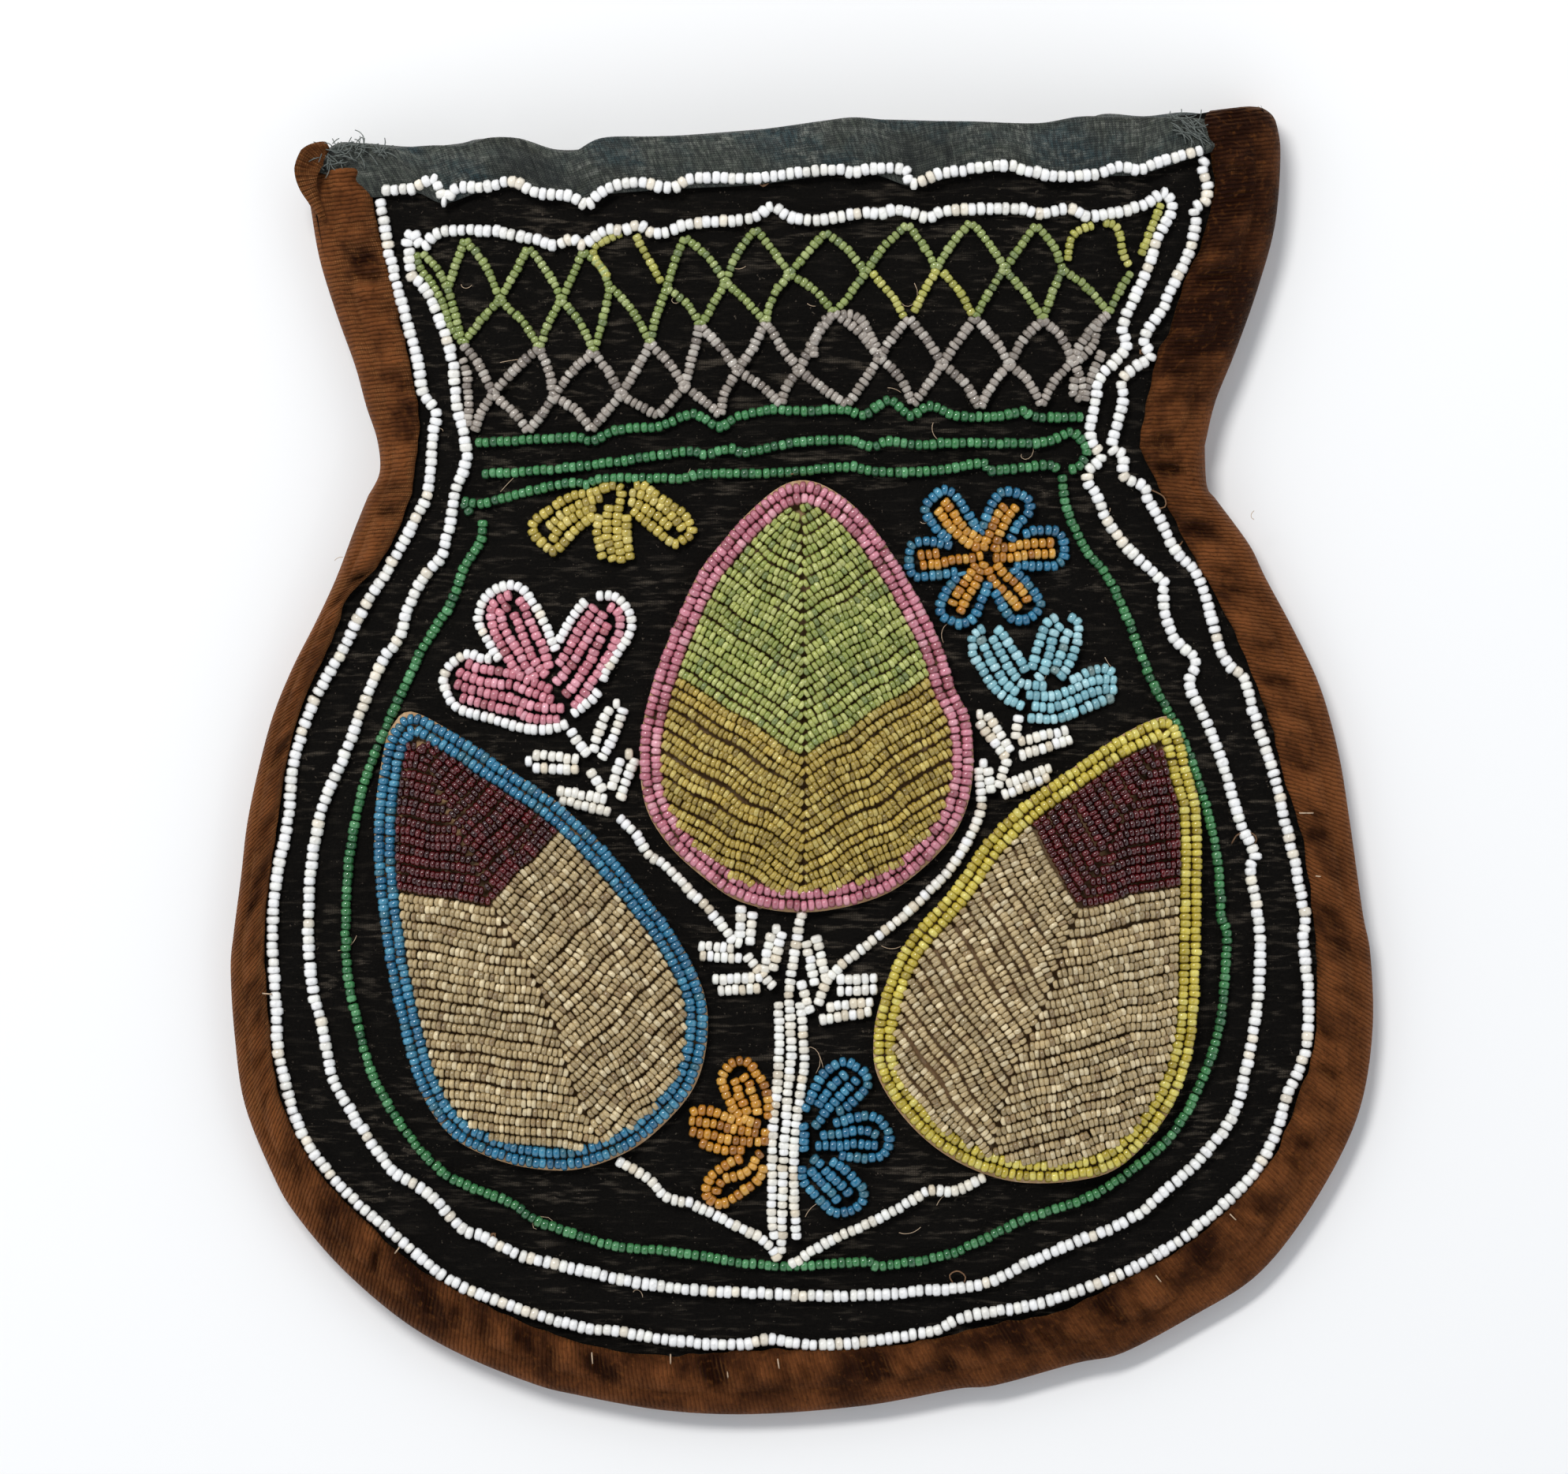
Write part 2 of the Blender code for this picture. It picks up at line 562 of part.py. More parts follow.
# Raised leaves: a card template, a rim of two bead rows and herringbone rows laid across it
LEAVES = {
    "centre": {
        "rim": [(1014, 636), (1058, 656), (1110, 703), (1164, 800), (1208, 890), (1217, 960), (1205, 1020),
                (1165, 1082), (1090, 1125), (1010, 1140), (940, 1126), (880, 1080), (838, 1020),
                (826, 950), (838, 870), (872, 790), (922, 705), (972, 654)],
        "centre_px": (1017, 930),
        "rib": [(1016, 600), (1020, 1180)],
        "tilt_degrees": 33,
        "split_share": 0.60,
        "fills": [("green_fill", LEAF_GREEN_BEADS), ("gold_fill", GOLD_BEADS)],
        "rim_material": PINK_BEADS,
    },
    "left": {
        "rim": [(530, 924), (600, 958), (680, 1012), (745, 1075), (800, 1136), (848, 1196), (880, 1270),
                (880, 1330), (850, 1385), (800, 1435), (725, 1466), (640, 1454), (578, 1420), (540, 1352),
                (514, 1270), (498, 1170), (491, 1060), (498, 965)],
        "centre_px": (680, 1230),
        "rib": [(510, 880), (800, 1520)],
        "tilt_degrees": 30,
        "split_share": 0.40,
        "fills": [("red_fill", RED_BEADS), ("crystal_fill", CRYSTAL_BEADS)],
        "rim_material": BLUE_BEADS,
    },
    "right": {
        "rim": [(1466, 934), (1489, 985), (1502, 1060), (1508, 1160), (1503, 1270), (1480, 1365),
                (1420, 1450), (1340, 1484), (1250, 1470), (1180, 1425), (1135, 1370), (1124, 1310),
                (1140, 1240), (1190, 1165), (1240, 1090), (1300, 1034), (1380, 975), (1440, 934)],
        "centre_px": (1330, 1240),
        "rib": [(1490, 880), (1215, 1520)],
        "tilt_degrees": 30,
        "split_share": 0.42,
        "fills": [("red_fill", RED_BEADS), ("crystal_fill", CRYSTAL_BEADS)],
        "rim_material": YELLOW_BEADS,
    },
}
CARD_TOP = FRONT_TOP_Z + SEAT_GAP + CARD_THICK


def crossing(origin, run, edge):
    """Distances along a line at which it crosses a closed edge."""
    hits = []
    for a, b in zip(edge, edge[1:] + edge[:1]):
        side = b - a
        cross = run.x * side.y - run.y * side.x
        if abs(cross) < PARALLEL_LIMIT:
            continue
        gap = a - origin
        along = (gap.x * side.y - gap.y * side.x) / cross
        share = (gap.x * run.y - gap.y * run.x) / cross
        if 0 <= share < 1:
            hits.append(along)
    return sorted(hits)


def herringbone(name, edge, leaf, begin, finish, material):
    """Rows slope down from both sides to the midrib; every row is a ridge of the plate."""
    top = at(*leaf["rib"][0])
    bottom = at(*leaf["rib"][1])
    down = (bottom - top).normalized()
    across = Vector((-down.y, down.x))
    tilt = math.radians(leaf["tilt_degrees"])
    centre = at(*leaf["centre_px"])
    reach = max((q - centre).length for q in edge)
    arms = [across * math.cos(tilt) - down * math.sin(tilt), -across * math.cos(tilt) - down * math.sin(tilt)]
    step = RIDGE_PITCH / math.cos(tilt) / 2
    points = []
    heights = []
    rows = []
    count = int((finish - begin) / step)
    for k in range(count + 1):
        spot = top + down * (begin + (finish - begin) * k / count)
        inside = crossing(spot, arms[0], edge)
        ahead = [h for h in inside if h > 0]
        if not ahead or len([h for h in inside if h > 0]) % 2 == 0:
            continue
        row = []
        ends = [min(ahead), min(h for h in crossing(spot, arms[1], edge) if h > 0)]
        for share in range(FILL_PARTS, 0, -1):
            row.append(spot + arms[0] * ends[0] * share / FILL_PARTS)
        row.append(spot)
        for share in range(1, FILL_PARTS + 1):
            row.append(spot + arms[1] * ends[1] * share / FILL_PARTS)
        rows.append([len(points) + i for i in range(len(row))])
        for p in row:
            points.append(p)
            crown = FILL_CROWN * (1 - min((p - centre).length / reach, 1) ** 2)
            heights.append(FILL_HEIGHT + crown - (RIDGE_DEPTH if k % 2 == 0 else 0))
    faces = []
    for upper, lower in zip(rows, rows[1:]):
        for i in range(len(upper) - 1):
            faces.append((upper[i], lower[i], lower[i + 1], upper[i + 1]))
    plate(name, points, faces, CARD_TOP + SEAT_GAP, lambda i: heights[i], material)


def leaf_pieces():
    for side, leaf in LEAVES.items():
        rim = smooth_curve(leaf["rim"], LEAF_EDGE_STEPS, closed=True)
        turn = sum(a.x * b.y - a.y * b.x for a, b in zip(rim, rim[1:] + rim[:1]))
        inward = 1 if turn > 0 else -1
        card_edge = inset(rim, -inward * (RIM_WIDTH / 2 + CARD_LIP - BEAD_WIDTH / 2), closed=True)
        centre = at(*leaf["centre_px"])
        points = ringed_points(card_edge, centre, LIP_RING_DEPTHS)
        faces = ring_faces(len(card_edge), len(LIP_RING_DEPTHS), len(points) - 1)
        plate(side + "_leaf_card", points, faces, FRONT_TOP_Z + SEAT_GAP, CARD_THICK, LEAF_CARD)
        edges = [(i, (i + 1) % len(rim)) for i in range(len(rim))]
        ribbon(side + "_leaf_rim", rim, edges, leaf["rim_material"], CARD_TOP + SEAT_GAP, RIM_WIDTH)
        inner = inset(rim, inward * (RIM_WIDTH / 2 + SEAT_GAP * 2), closed=True)
        top = at(*leaf["rib"][0])
        down = (at(*leaf["rib"][1]) - top).normalized()
        hits = [h for h in crossing(top, down, inner) if h > 0]
        start = hits[0] + RIDGE_PITCH
        end = hits[-1] - SEAT_GAP
        split = start + (end - start) * leaf["split_share"]
        spans = ((start, split - SEAT_GAP), (split + SEAT_GAP, end))
        for (label, material), (low, high) in zip(leaf["fills"], spans):
            herringbone(side + "_leaf_" + label, inner, leaf, low, high, material)


# Stems, sprigs and flowers of couched beads between the leaves
TRUNK_PX = [(1002, 1268), (1003, 1330), (998, 1400), (992, 1480), (994, 1560), (996, 1580)]
TRUNK_WIDTH = 0.0046
VINES_PX = {
    "left_vine": [(786, 1494), (838, 1511), (866, 1524), (899, 1536), (945, 1562), (972, 1578)],
    "right_vine": [(1222, 1508), (1195, 1514), (1162, 1521), (1111, 1548), (1065, 1567), (1022, 1580)],
}
SPRIGS_PX = {
    "left_sprig": {
        "points": [(728, 936), (748, 968), (768, 1010), (794, 1044), (824, 1086), (862, 1126), (900, 1156),
                   (932, 1196), (960, 1228), (972, 1246), (782, 903), (682, 966), (792, 962), (716, 1014),
                   (946, 1160), (892, 1208), (982, 1190), (914, 1250)],
        "runs": [(0, 1), (1, 2), (2, 3), (3, 4), (4, 5), (5, 6), (6, 7), (7, 8), (8, 9), (1, 10), (1, 11),
                 (2, 12), (2, 13), (7, 14), (7, 15), (8, 16), (9, 17)],
    },
    "right_sprig": {
        "points": [(1289, 914), (1284, 950), (1268, 996), (1242, 1034), (1216, 1072), (1184, 1119),
                   (1146, 1154), (1100, 1200), (1054, 1236), (1036, 1262), (1246, 910), (1350, 936),
                   (1248, 966), (1326, 980), (1034, 1196), (1106, 1248), (1100, 1276)],
        "runs": [(0, 1), (1, 2), (2, 3), (3, 4), (4, 5), (5, 6), (6, 7), (7, 8), (8, 9), (1, 10), (1, 11),
                 (2, 12), (2, 13), (8, 14), (8, 15), (9, 16)],
    },
}
STALK_PX = [(1016, 1166), (1010, 1210), (1004, 1248)]
FLOWERS_PX = {
    "yellow_flower": ((786, 640), YELLOW_BEADS, [
        (796, 624), (880, 662), (858, 694), (806, 668), (804, 700), (783, 716), (762, 704), (764, 672),
        (702, 704), (674, 676), (776, 626)]),
    "pink_flower": ((706, 862), PINK_BEADS, [
        (706, 834), (752, 770), (784, 770), (790, 806), (762, 870), (726, 902), (664, 894), (588, 866),
        (586, 842), (622, 840), (652, 850), (622, 790), (630, 758), (664, 762)]),
    "star_flower": ((1250, 703), AMBER_BEADS, [
        (1250, 662), (1290, 626), (1292, 678), (1344, 697), (1290, 722), (1302, 780), (1252, 744),
        (1214, 786), (1212, 726), (1154, 708), (1210, 682), (1200, 628)]),
    "turquoise_flower": ((1318, 868), TURQUOISE_BEADS, [
        (1300, 846), (1330, 784), (1370, 790), (1346, 852), (1412, 846), (1420, 874), (1350, 906),
        (1290, 908), (1250, 866), (1230, 806), (1252, 790)]),
    "amber_flower": ((958, 1436), AMBER_BEADS, [
        (972, 1380), (970, 1428), (966, 1480), (930, 1520), (900, 1522), (898, 1490), (940, 1462),
        (880, 1446), (872, 1424), (896, 1408), (940, 1424), (916, 1370), (936, 1346), (958, 1354)]),
    "blue_flower": ((1046, 1440), BLUE_BEADS, [
        (1026, 1436), (1024, 1398), (1070, 1344), (1104, 1362), (1090, 1398), (1060, 1414), (1118, 1418),
        (1130, 1440), (1118, 1466), (1064, 1466), (1092, 1500), (1092, 1524), (1058, 1536), (1020, 1488)]),
}


def flower(name, centre_px, material, outline_px):
    """A low domed plate cut to the outline of the petals."""
    centre = at(*centre_px)
    edge = [at(*p) for p in outline_px]
    count = len(edge)
    points = edge + [centre.lerp(q, PETAL_MIDDLE_SHARE) for q in edge] + [centre]
    faces = ring_faces(count, 2, len(points) - 1)
    heights = [PETAL_EDGE] * count + [BEAD_HEIGHT] * (count + 1)
    plate(name, points, faces, BEADS_ON_VELVET, lambda i: heights[i], material)


def stems_and_flowers():
    trunk = smooth_curve(TRUNK_PX, TRUNK_STEPS)
    runs = [(i, i + 1) for i in range(TRUNK_STEPS)]
    ribbon("trunk", trunk, runs, WHITE_BEADS, BEADS_ON_VELVET, TRUNK_WIDTH)
    bead_line("stalk", STALK_PX, STALK_STEPS, WHITE_BEADS)
    for name, points in VINES_PX.items():
        bead_line(name, points, VINE_STEPS, WHITE_BEADS)
    for name, sprig in SPRIGS_PX.items():
        points = [at(*p) for p in sprig["points"]]
        ribbon(name, points, sprig["runs"], WHITE_BEADS, BEADS_ON_VELVET, BEAD_WIDTH)
    for name, (centre, material, outline) in FLOWERS_PX.items():
        flower(name, centre, material, outline)


back_panels()
front_panels()
bindings()
border_lines()
bead_nets()
leaf_pieces()
stems_and_flowers()

# The lip folds up about a line across the neck, level with the top of the puffed velvet
HINGE_Z = FRONT_TOP_Z + FRONT_PUFF + NECK_RISE
hinge = bpy.data.objects.new("front_lip_hinge", None)
middle = FOLD_LEFT.lerp(FOLD_RIGHT, 0.5)
hinge.location = (middle.x, middle.y, HINGE_Z)
bpy.context.collection.objects.link(hinge)
bpy.context.view_layer.update()
LIP_PIECES = ["front_velvet_lip", "front_interlining_lip", "front_lining_lip", "lip_binding_left",
              "lip_binding_right", "front_mouth_binding", "white_outer_line_lip", "white_inner_line_lip",
              "green_row_upper", "green_row_middle", "green_net", "crystal_net"]
for piece in LIP_PIECES:
    node = bpy.data.objects[piece]
    node.parent = hinge
    node.matrix_parent_inverse = hinge.matrix_world.inverted()
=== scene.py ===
import math

import bpy
import numpy as np
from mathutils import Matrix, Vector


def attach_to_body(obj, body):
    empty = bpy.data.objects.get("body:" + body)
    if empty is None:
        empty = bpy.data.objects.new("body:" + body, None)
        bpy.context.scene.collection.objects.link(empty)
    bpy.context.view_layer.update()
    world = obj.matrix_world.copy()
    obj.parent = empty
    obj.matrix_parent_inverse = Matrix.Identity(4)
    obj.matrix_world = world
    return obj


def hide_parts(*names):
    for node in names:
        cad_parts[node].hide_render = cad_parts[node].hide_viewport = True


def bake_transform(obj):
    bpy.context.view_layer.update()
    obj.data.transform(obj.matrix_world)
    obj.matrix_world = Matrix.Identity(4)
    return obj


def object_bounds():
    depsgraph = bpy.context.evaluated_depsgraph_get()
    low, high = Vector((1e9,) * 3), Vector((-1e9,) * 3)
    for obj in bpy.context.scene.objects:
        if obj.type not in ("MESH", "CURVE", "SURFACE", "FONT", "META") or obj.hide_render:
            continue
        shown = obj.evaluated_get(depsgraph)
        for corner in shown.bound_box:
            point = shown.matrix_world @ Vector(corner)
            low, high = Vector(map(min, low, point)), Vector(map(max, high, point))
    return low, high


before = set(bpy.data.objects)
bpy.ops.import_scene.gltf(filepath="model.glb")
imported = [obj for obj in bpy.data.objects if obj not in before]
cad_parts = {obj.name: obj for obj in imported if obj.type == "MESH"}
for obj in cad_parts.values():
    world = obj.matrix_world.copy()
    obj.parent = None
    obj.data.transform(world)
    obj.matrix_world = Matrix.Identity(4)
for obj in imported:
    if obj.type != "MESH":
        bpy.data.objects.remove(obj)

# The purse lies on its back on a pale table: the frame's box gives the scale of the picture.
# Every place below is a given point of the picture, laid on the table by at().
CAD_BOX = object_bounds()
LEFT_PX, RIGHT_PX, TOP_PX, BOTTOM_PX = 290, 1744, 124, 1796
IMAGE_WIDTH_PX, IMAGE_HEIGHT_PX = 1988, 1869
METRES_PER_PX = (CAD_BOX[1][0] - CAD_BOX[0][0]) / (RIGHT_PX - LEFT_PX)
VELVET_TOP = 0.0048
FRONT_PUFF = 0.0055
PUFF_RUN = 0.045
NECK_RISE = 0.0021
NECK_RISE_RUN = 0.03
SEAT = 0.0002
SHORTEST_SQUARED = 1e-12
POINTS_AT_ONCE = 4000

LEFT_RIM_PX = [(378, 217), (389, 243), (403, 324), (425, 396), (449, 463), (463, 514), (477, 557),
               (480, 598), (465, 628)]
BODY_RIM_PX = [
    (465, 628), (447, 672), (424, 733), (398, 789), (369, 846), (344, 907), (326, 973), (311, 1045),
    (303, 1114), (294, 1183), (290, 1230), (295, 1313), (308, 1402), (344, 1492), (373, 1542),
    (432, 1611), (509, 1677), (585, 1721), (674, 1757), (728, 1771), (840, 1791), (955, 1796),
    (1098, 1785), (1213, 1764), (1264, 1759), (1366, 1731), (1425, 1718), (1516, 1670), (1590, 1624),
    (1646, 1560), (1700, 1471), (1730, 1395), (1743, 1303), (1740, 1211), (1730, 1157), (1713, 1037),
    (1699, 953), (1676, 871), (1643, 800), (1606, 731), (1586, 690), (1545, 634), (1532, 615),
    (1529, 564),
]
RIGHT_RIM_PX = [(1529, 564), (1542, 509), (1568, 444), (1596, 365), (1618, 284), (1625, 200), (1621, 159),
                (1609, 128)]
LEFT_INNER_PX = [(458, 210), (468, 233), (482, 299), (503, 386), (517, 452), (527, 501), (532, 540),
                 (524, 603), (521, 626)]
BODY_INNER_PX = [
    (521, 626), (505, 670), (480, 715), (439, 759), (426, 797), (402, 848), (382, 894), (365, 953),
    (354, 1019), (340, 1119), (334, 1198), (340, 1300), (350, 1377), (374, 1441), (412, 1499),
    (468, 1555), (529, 1609), (598, 1647), (674, 1683), (771, 1713), (853, 1720), (955, 1713),
    (1057, 1712), (1162, 1703), (1264, 1680), (1341, 1665), (1422, 1626), (1503, 1581), (1567, 1524),
    (1616, 1468), (1643, 1402), (1666, 1333), (1671, 1262), (1669, 1193), (1653, 1065), (1630, 989),
    (1610, 912), (1582, 838), (1563, 795), (1540, 751), (1512, 703), (1484, 647), (1453, 583),
    (1444, 566),
]
RIGHT_INNER_PX = [(1444, 566), (1452, 522), (1466, 455), (1488, 406), (1502, 355), (1522, 312),
                  (1539, 243), (1536, 202), (1527, 164), (1530, 138)]
MOUTH_PX = [(378, 217), (422, 182), (500, 184), (580, 180), (620, 173), (690, 186), (725, 193),
            (763, 174), (868, 169), (982, 161), (1084, 148), (1228, 152), (1355, 154), (1401, 142),
            (1500, 136), (1560, 126), (1609, 128)]


def at(points):
    """Lay picture points on the table: metres, the purse's middle at zero."""
    points = np.asarray(points, float)
    middle = np.array([(LEFT_PX + RIGHT_PX) / 2, (TOP_PX + BOTTOM_PX) / 2])
    return (points - middle) * METRES_PER_PX * np.array([1, -1])


def ease(share):
    share = np.clip(share, 0, 1)
    return share * share * (3 - 2 * share)


def smooth(points, closed=False, parts=6):
    """A Catmull-Rom curve through picture points, in metres."""
    knots = at(points)
    size = len(knots)
    spans = size if closed else size - 1
    out = []
    for i in range(spans):
        a = knots[i]
        b = knots[(i + 1) % size]
        before = knots[i - 1] if closed or i > 0 else a
        after = knots[(i + 2) % size] if closed or i + 2 < size else b
        t = (np.arange(parts) / parts)[:, None]
        out.append(0.5 * (2 * a + (b - before) * t + (2 * before - 5 * a + 4 * b - after) * t ** 2
                          + (3 * a - before - 3 * b + after) * t ** 3))
    out.append(knots[:1] if closed else knots[-1:])
    return np.concatenate(out)


def run_length(line):
    """How far along a line each of its points lies."""
    return np.concatenate([[0], np.cumsum(np.linalg.norm(np.diff(line, axis=0), axis=1))])


def directions(line):
    """Unit directions along a flat line, and those that point to its left."""
    run = np.gradient(line, axis=0)
    run /= np.linalg.norm(run, axis=1)[:, None]
    return run, np.stack([-run[:, 1], run[:, 0]], axis=1)


def line_distance(points, line):
    """How far each point lies from a line."""
    a = line[:-1]
    ab = line[1:] - a
    length = np.maximum((ab ** 2).sum(axis=1), SHORTEST_SQUARED)
    gap = points[:, None, :] - a[None]
    t = np.clip((gap * ab).sum(axis=2) / length, 0, 1)
    return np.linalg.norm(gap - ab * t[..., None], axis=2).min(axis=1)


def walk(line, count=None, pitch=None):
    """Read a line at even steps: a number of steps, or a pitch in metres."""
    run = run_length(line)
    if count is None:
        count = max(int(round(run[-1] / pitch)), 1)
    want = np.linspace(0, run[-1], count + 1)
    return np.stack([np.interp(want, run, line[:, k]) for k in range(line.shape[1])], axis=1)


RIM = np.concatenate([walk(smooth(p), pitch=0.002) for p in (LEFT_RIM_PX, BODY_RIM_PX, RIGHT_RIM_PX)])
FOLD_LEFT = at(BODY_RIM_PX[0])
FOLD_RIGHT = at(BODY_RIM_PX[-1])
FOLD_RUN = (FOLD_RIGHT - FOLD_LEFT) / np.linalg.norm(FOLD_RIGHT - FOLD_LEFT)
FOLD_UP = np.array([-FOLD_RUN[1], FOLD_RUN[0]])


def rim_distance(points):
    """How far each point lies from the bound rim, a block of points at a time."""
    blocks = np.array_split(points, max(len(points) // POINTS_AT_ONCE, 1))
    return np.concatenate([line_distance(block, RIM) for block in blocks])


def rise(points):
    """Height that the front gains over its rim: the puffed pocket and the lift at the neck."""
    points = np.atleast_2d(points)
    neck = NECK_RISE * ease(1 + (points - FOLD_LEFT) @ FOLD_UP / NECK_RISE_RUN)
    return FRONT_PUFF * ease(rim_distance(points) / PUFF_RUN) + neck


# Camera, light and table: soft daylight from above and the left on a pale ground.
# The camera looks straight down, as the photograph does.
CAMERA_HEIGHT = 1.7
CAMERA_AIM_Z = 0.009
SENSOR_WIDTH = 36.0
SKY_COLOUR = (0.93, 0.96, 1.0, 1)
GROUND_COLOUR = (0.86, 0.88, 0.9, 1)
SKY_LIMITS = {"From Min": 0.6, "From Max": 0.97, "To Min": 0.95, "To Max": 0.06}
TABLE_REACH = 3.0
TABLE_COLOUR = (0.92, 0.923, 0.93, 1)
# Each light: name, place, size, power and colour; both look at the middle of the table.
LIGHTS = [("key", (-1.0, 1.6, 2.6), 1.5, 187.0, (1.0, 0.985, 0.96)),
          ("fill", (1.9, -0.8, 2.2), 1.6, 30.0, (0.9, 0.95, 1.0))]


def add_camera():
    middle = at((IMAGE_WIDTH_PX / 2, IMAGE_HEIGHT_PX / 2))
    data = bpy.data.cameras.new("camera")
    data.sensor_width = SENSOR_WIDTH
    data.lens = SENSOR_WIDTH * CAMERA_HEIGHT / (IMAGE_WIDTH_PX * METRES_PER_PX)
    camera = bpy.data.objects.new("camera", data)
    camera.location = (middle[0], middle[1], CAMERA_HEIGHT + CAMERA_AIM_Z)
    bpy.context.scene.collection.objects.link(camera)
    bpy.context.scene.camera = camera


def add_area_light(name, place, size, power, colour):
    data = bpy.data.lights.new(name, "AREA")
    data.shape = "DISK"
    data.size = size
    data.energy = power
    data.color = colour
    light = bpy.data.objects.new(name, data)
    light.location = place
    way = -np.array(place) / np.linalg.norm(place)
    light.rotation_euler = (math.acos(-way[2]), 0, math.atan2(way[0], -way[1]))
    bpy.context.scene.collection.objects.link(light)


def add_world():
    world = bpy.data.worlds.new("daylight")
    bpy.context.scene.world = world
    world.use_nodes = True
    nodes = world.node_tree.nodes
    links = world.node_tree.links
    light = nodes["Background"]
    light.inputs["Color"].default_value = SKY_COLOUR
    way = nodes.new("ShaderNodeTexCoord")
    parts = nodes.new("ShaderNodeSeparateXYZ")
    sky = nodes.new("ShaderNodeMapRange")
    for name, value in SKY_LIMITS.items():
        sky.inputs[name].default_value = value
    links.new(way.outputs["Generated"], parts.inputs["Vector"])
    links.new(parts.outputs["Z"], sky.inputs["Value"])
    links.new(sky.outputs["Result"], light.inputs["Strength"])
    seen = nodes.new("ShaderNodeBackground")
    seen.inputs["Color"].default_value = GROUND_COLOUR
    mix = nodes.new("ShaderNodeMixShader")
    path = nodes.new("ShaderNodeLightPath")
    links.new(path.outputs["Is Camera Ray"], mix.inputs["Fac"])
    links.new(light.outputs["Background"], mix.inputs[1])
    links.new(seen.outputs["Background"], mix.inputs[2])
    links.new(mix.outputs["Shader"], nodes["World Output"].inputs["Surface"])


def add_table():
    corners = [(x * TABLE_REACH, y * TABLE_REACH, 0) for x, y in ((-1, -1), (1, -1), (1, 1), (-1, 1))]
    mesh = bpy.data.meshes.new("table_top")
    mesh.from_pydata(corners, [], [(0, 1, 2, 3)])
    table = bpy.data.objects.new("table_top", mesh)
    bpy.context.scene.collection.objects.link(table)
    material = bpy.data.materials.new("table_paper")
    material.use_nodes = True
    shader = material.node_tree.nodes["Principled BSDF"]
    shader.inputs["Base Color"].default_value = TABLE_COLOUR
    shader.inputs["Roughness"].default_value = 0.9
    shader.inputs["Specular IOR Level"].default_value = 0.1
    mesh.materials.append(material)


bpy.context.scene.view_settings.view_transform = "Standard"
add_camera()
add_world()
add_table()
for light in LIGHTS:
    add_area_light(*light)


# Shader helpers: every material is a Principled shader fed by small procedural trees.
# A value that comes from a node is wired in, and any other is set.
def feed(tree, socket, value):
    if isinstance(value, bpy.types.NodeSocket):
        tree.links.new(value, socket)
    else:
        socket.default_value = value


def add_node(tree, kind, inputs=(), **settings):
    """Add a node with its settings, and feed its inputs."""
    node = tree.nodes.new(kind)
    for key, value in settings.items():
        setattr(node, key, value)
    for key, value in dict(inputs).items():
        feed(tree, node.inputs[key], value)
    return node


class Tree:
    """A short way to add nodes to a material and wire them."""

    def __init__(self, name):
        self.material = bpy.data.materials.new(name)
        self.material.use_nodes = True
        self.nodes = self.material.node_tree.nodes
        self.links = self.material.node_tree.links
        self.shader = self.nodes["Principled BSDF"]
        self.place = self.nodes.new("ShaderNodeTexCoord").outputs["Object"]

    def add(self, kind, inputs=(), **settings):
        return add_node(self, kind, inputs, **settings)

    def noise(self, scale, detail=3.0, rough=0.55, place=None, stretch=None):
        spot = place or self.place
        if stretch:
            spot = self.add("ShaderNodeMapping", {"Vector": spot, "Scale": stretch}).outputs["Vector"]
        inputs = {"Vector": spot, "Scale": scale, "Detail": detail, "Roughness": rough}
        return self.add("ShaderNodeTexNoise", inputs).outputs["Fac"]

    def limits(self, value, low, high, to_low=0.0, to_high=1.0):
        inputs = {"Value": value, "From Min": low, "From Max": high, "To Min": to_low, "To Max": to_high}
        return self.add("ShaderNodeMapRange", inputs, interpolation_type="SMOOTHSTEP").outputs["Result"]

    def math(self, operation, a, b):
        return self.add("ShaderNodeMath", {0: a, 1: b}, operation=operation).outputs["Value"]

    def blend(self, share, a, b, mode="MIX"):
        inputs = {0: share, 6: a, 7: b}
        return self.add("ShaderNodeMix", inputs, data_type="RGBA", blend_type=mode).outputs[2]

    def attribute(self, name):
        return self.add("ShaderNodeAttribute", attribute_name=name)

    def bump(self, height, distance, strength=1.0, normal=None):
        inputs = {"Height": height, "Distance": distance, "Strength": strength}
        if normal:
            inputs["Normal"] = normal
        return self.add("ShaderNodeBump", inputs).outputs["Normal"]

    def finish(self, **inputs):
        for key, value in inputs.items():
            feed(self, self.shader.inputs[key.replace("_", " ")], value)
        return self.material


def weave_group():
    """Plain weave on flat coordinates: height and a mask of single threads that catch the light."""
    group = bpy.data.node_groups.new("plain_weave", "ShaderNodeTree")
    group.interface.new_socket("Vector", in_out="INPUT", socket_type="NodeSocketVector")
    group.interface.new_socket("Threads", in_out="INPUT", socket_type="NodeSocketFloat")
    group.interface.new_socket("Height", in_out="OUTPUT", socket_type="NodeSocketFloat")
    nodes = group.nodes
    links = group.links
    inside = nodes.new("NodeGroupInput")
    outside = nodes.new("NodeGroupOutput")
    waves = []
    for direction, turn in (("X", "Y"), ("Y", "X")):
        wave = nodes.new("ShaderNodeTexWave")
        wave.bands_direction = direction
        wave.inputs["Distortion"].default_value = 0.6
        wave.inputs["Detail"].default_value = 1.0
        links.new(inside.outputs["Vector"], wave.inputs["Vector"])
        links.new(inside.outputs["Threads"], wave.inputs["Scale"])
        waves.append(wave.outputs["Fac"])
    top = nodes.new("ShaderNodeMath")
    top.operation = "MULTIPLY"
    links.new(waves[0], top.inputs[0])
    links.new(waves[1], top.inputs[1])
    links.new(top.outputs["Value"], outside.inputs["Height"])
    return group


WEAVE = weave_group()
WEAVE_SCALE = 900.0
CLOTH_PLACE = "cloth_place"


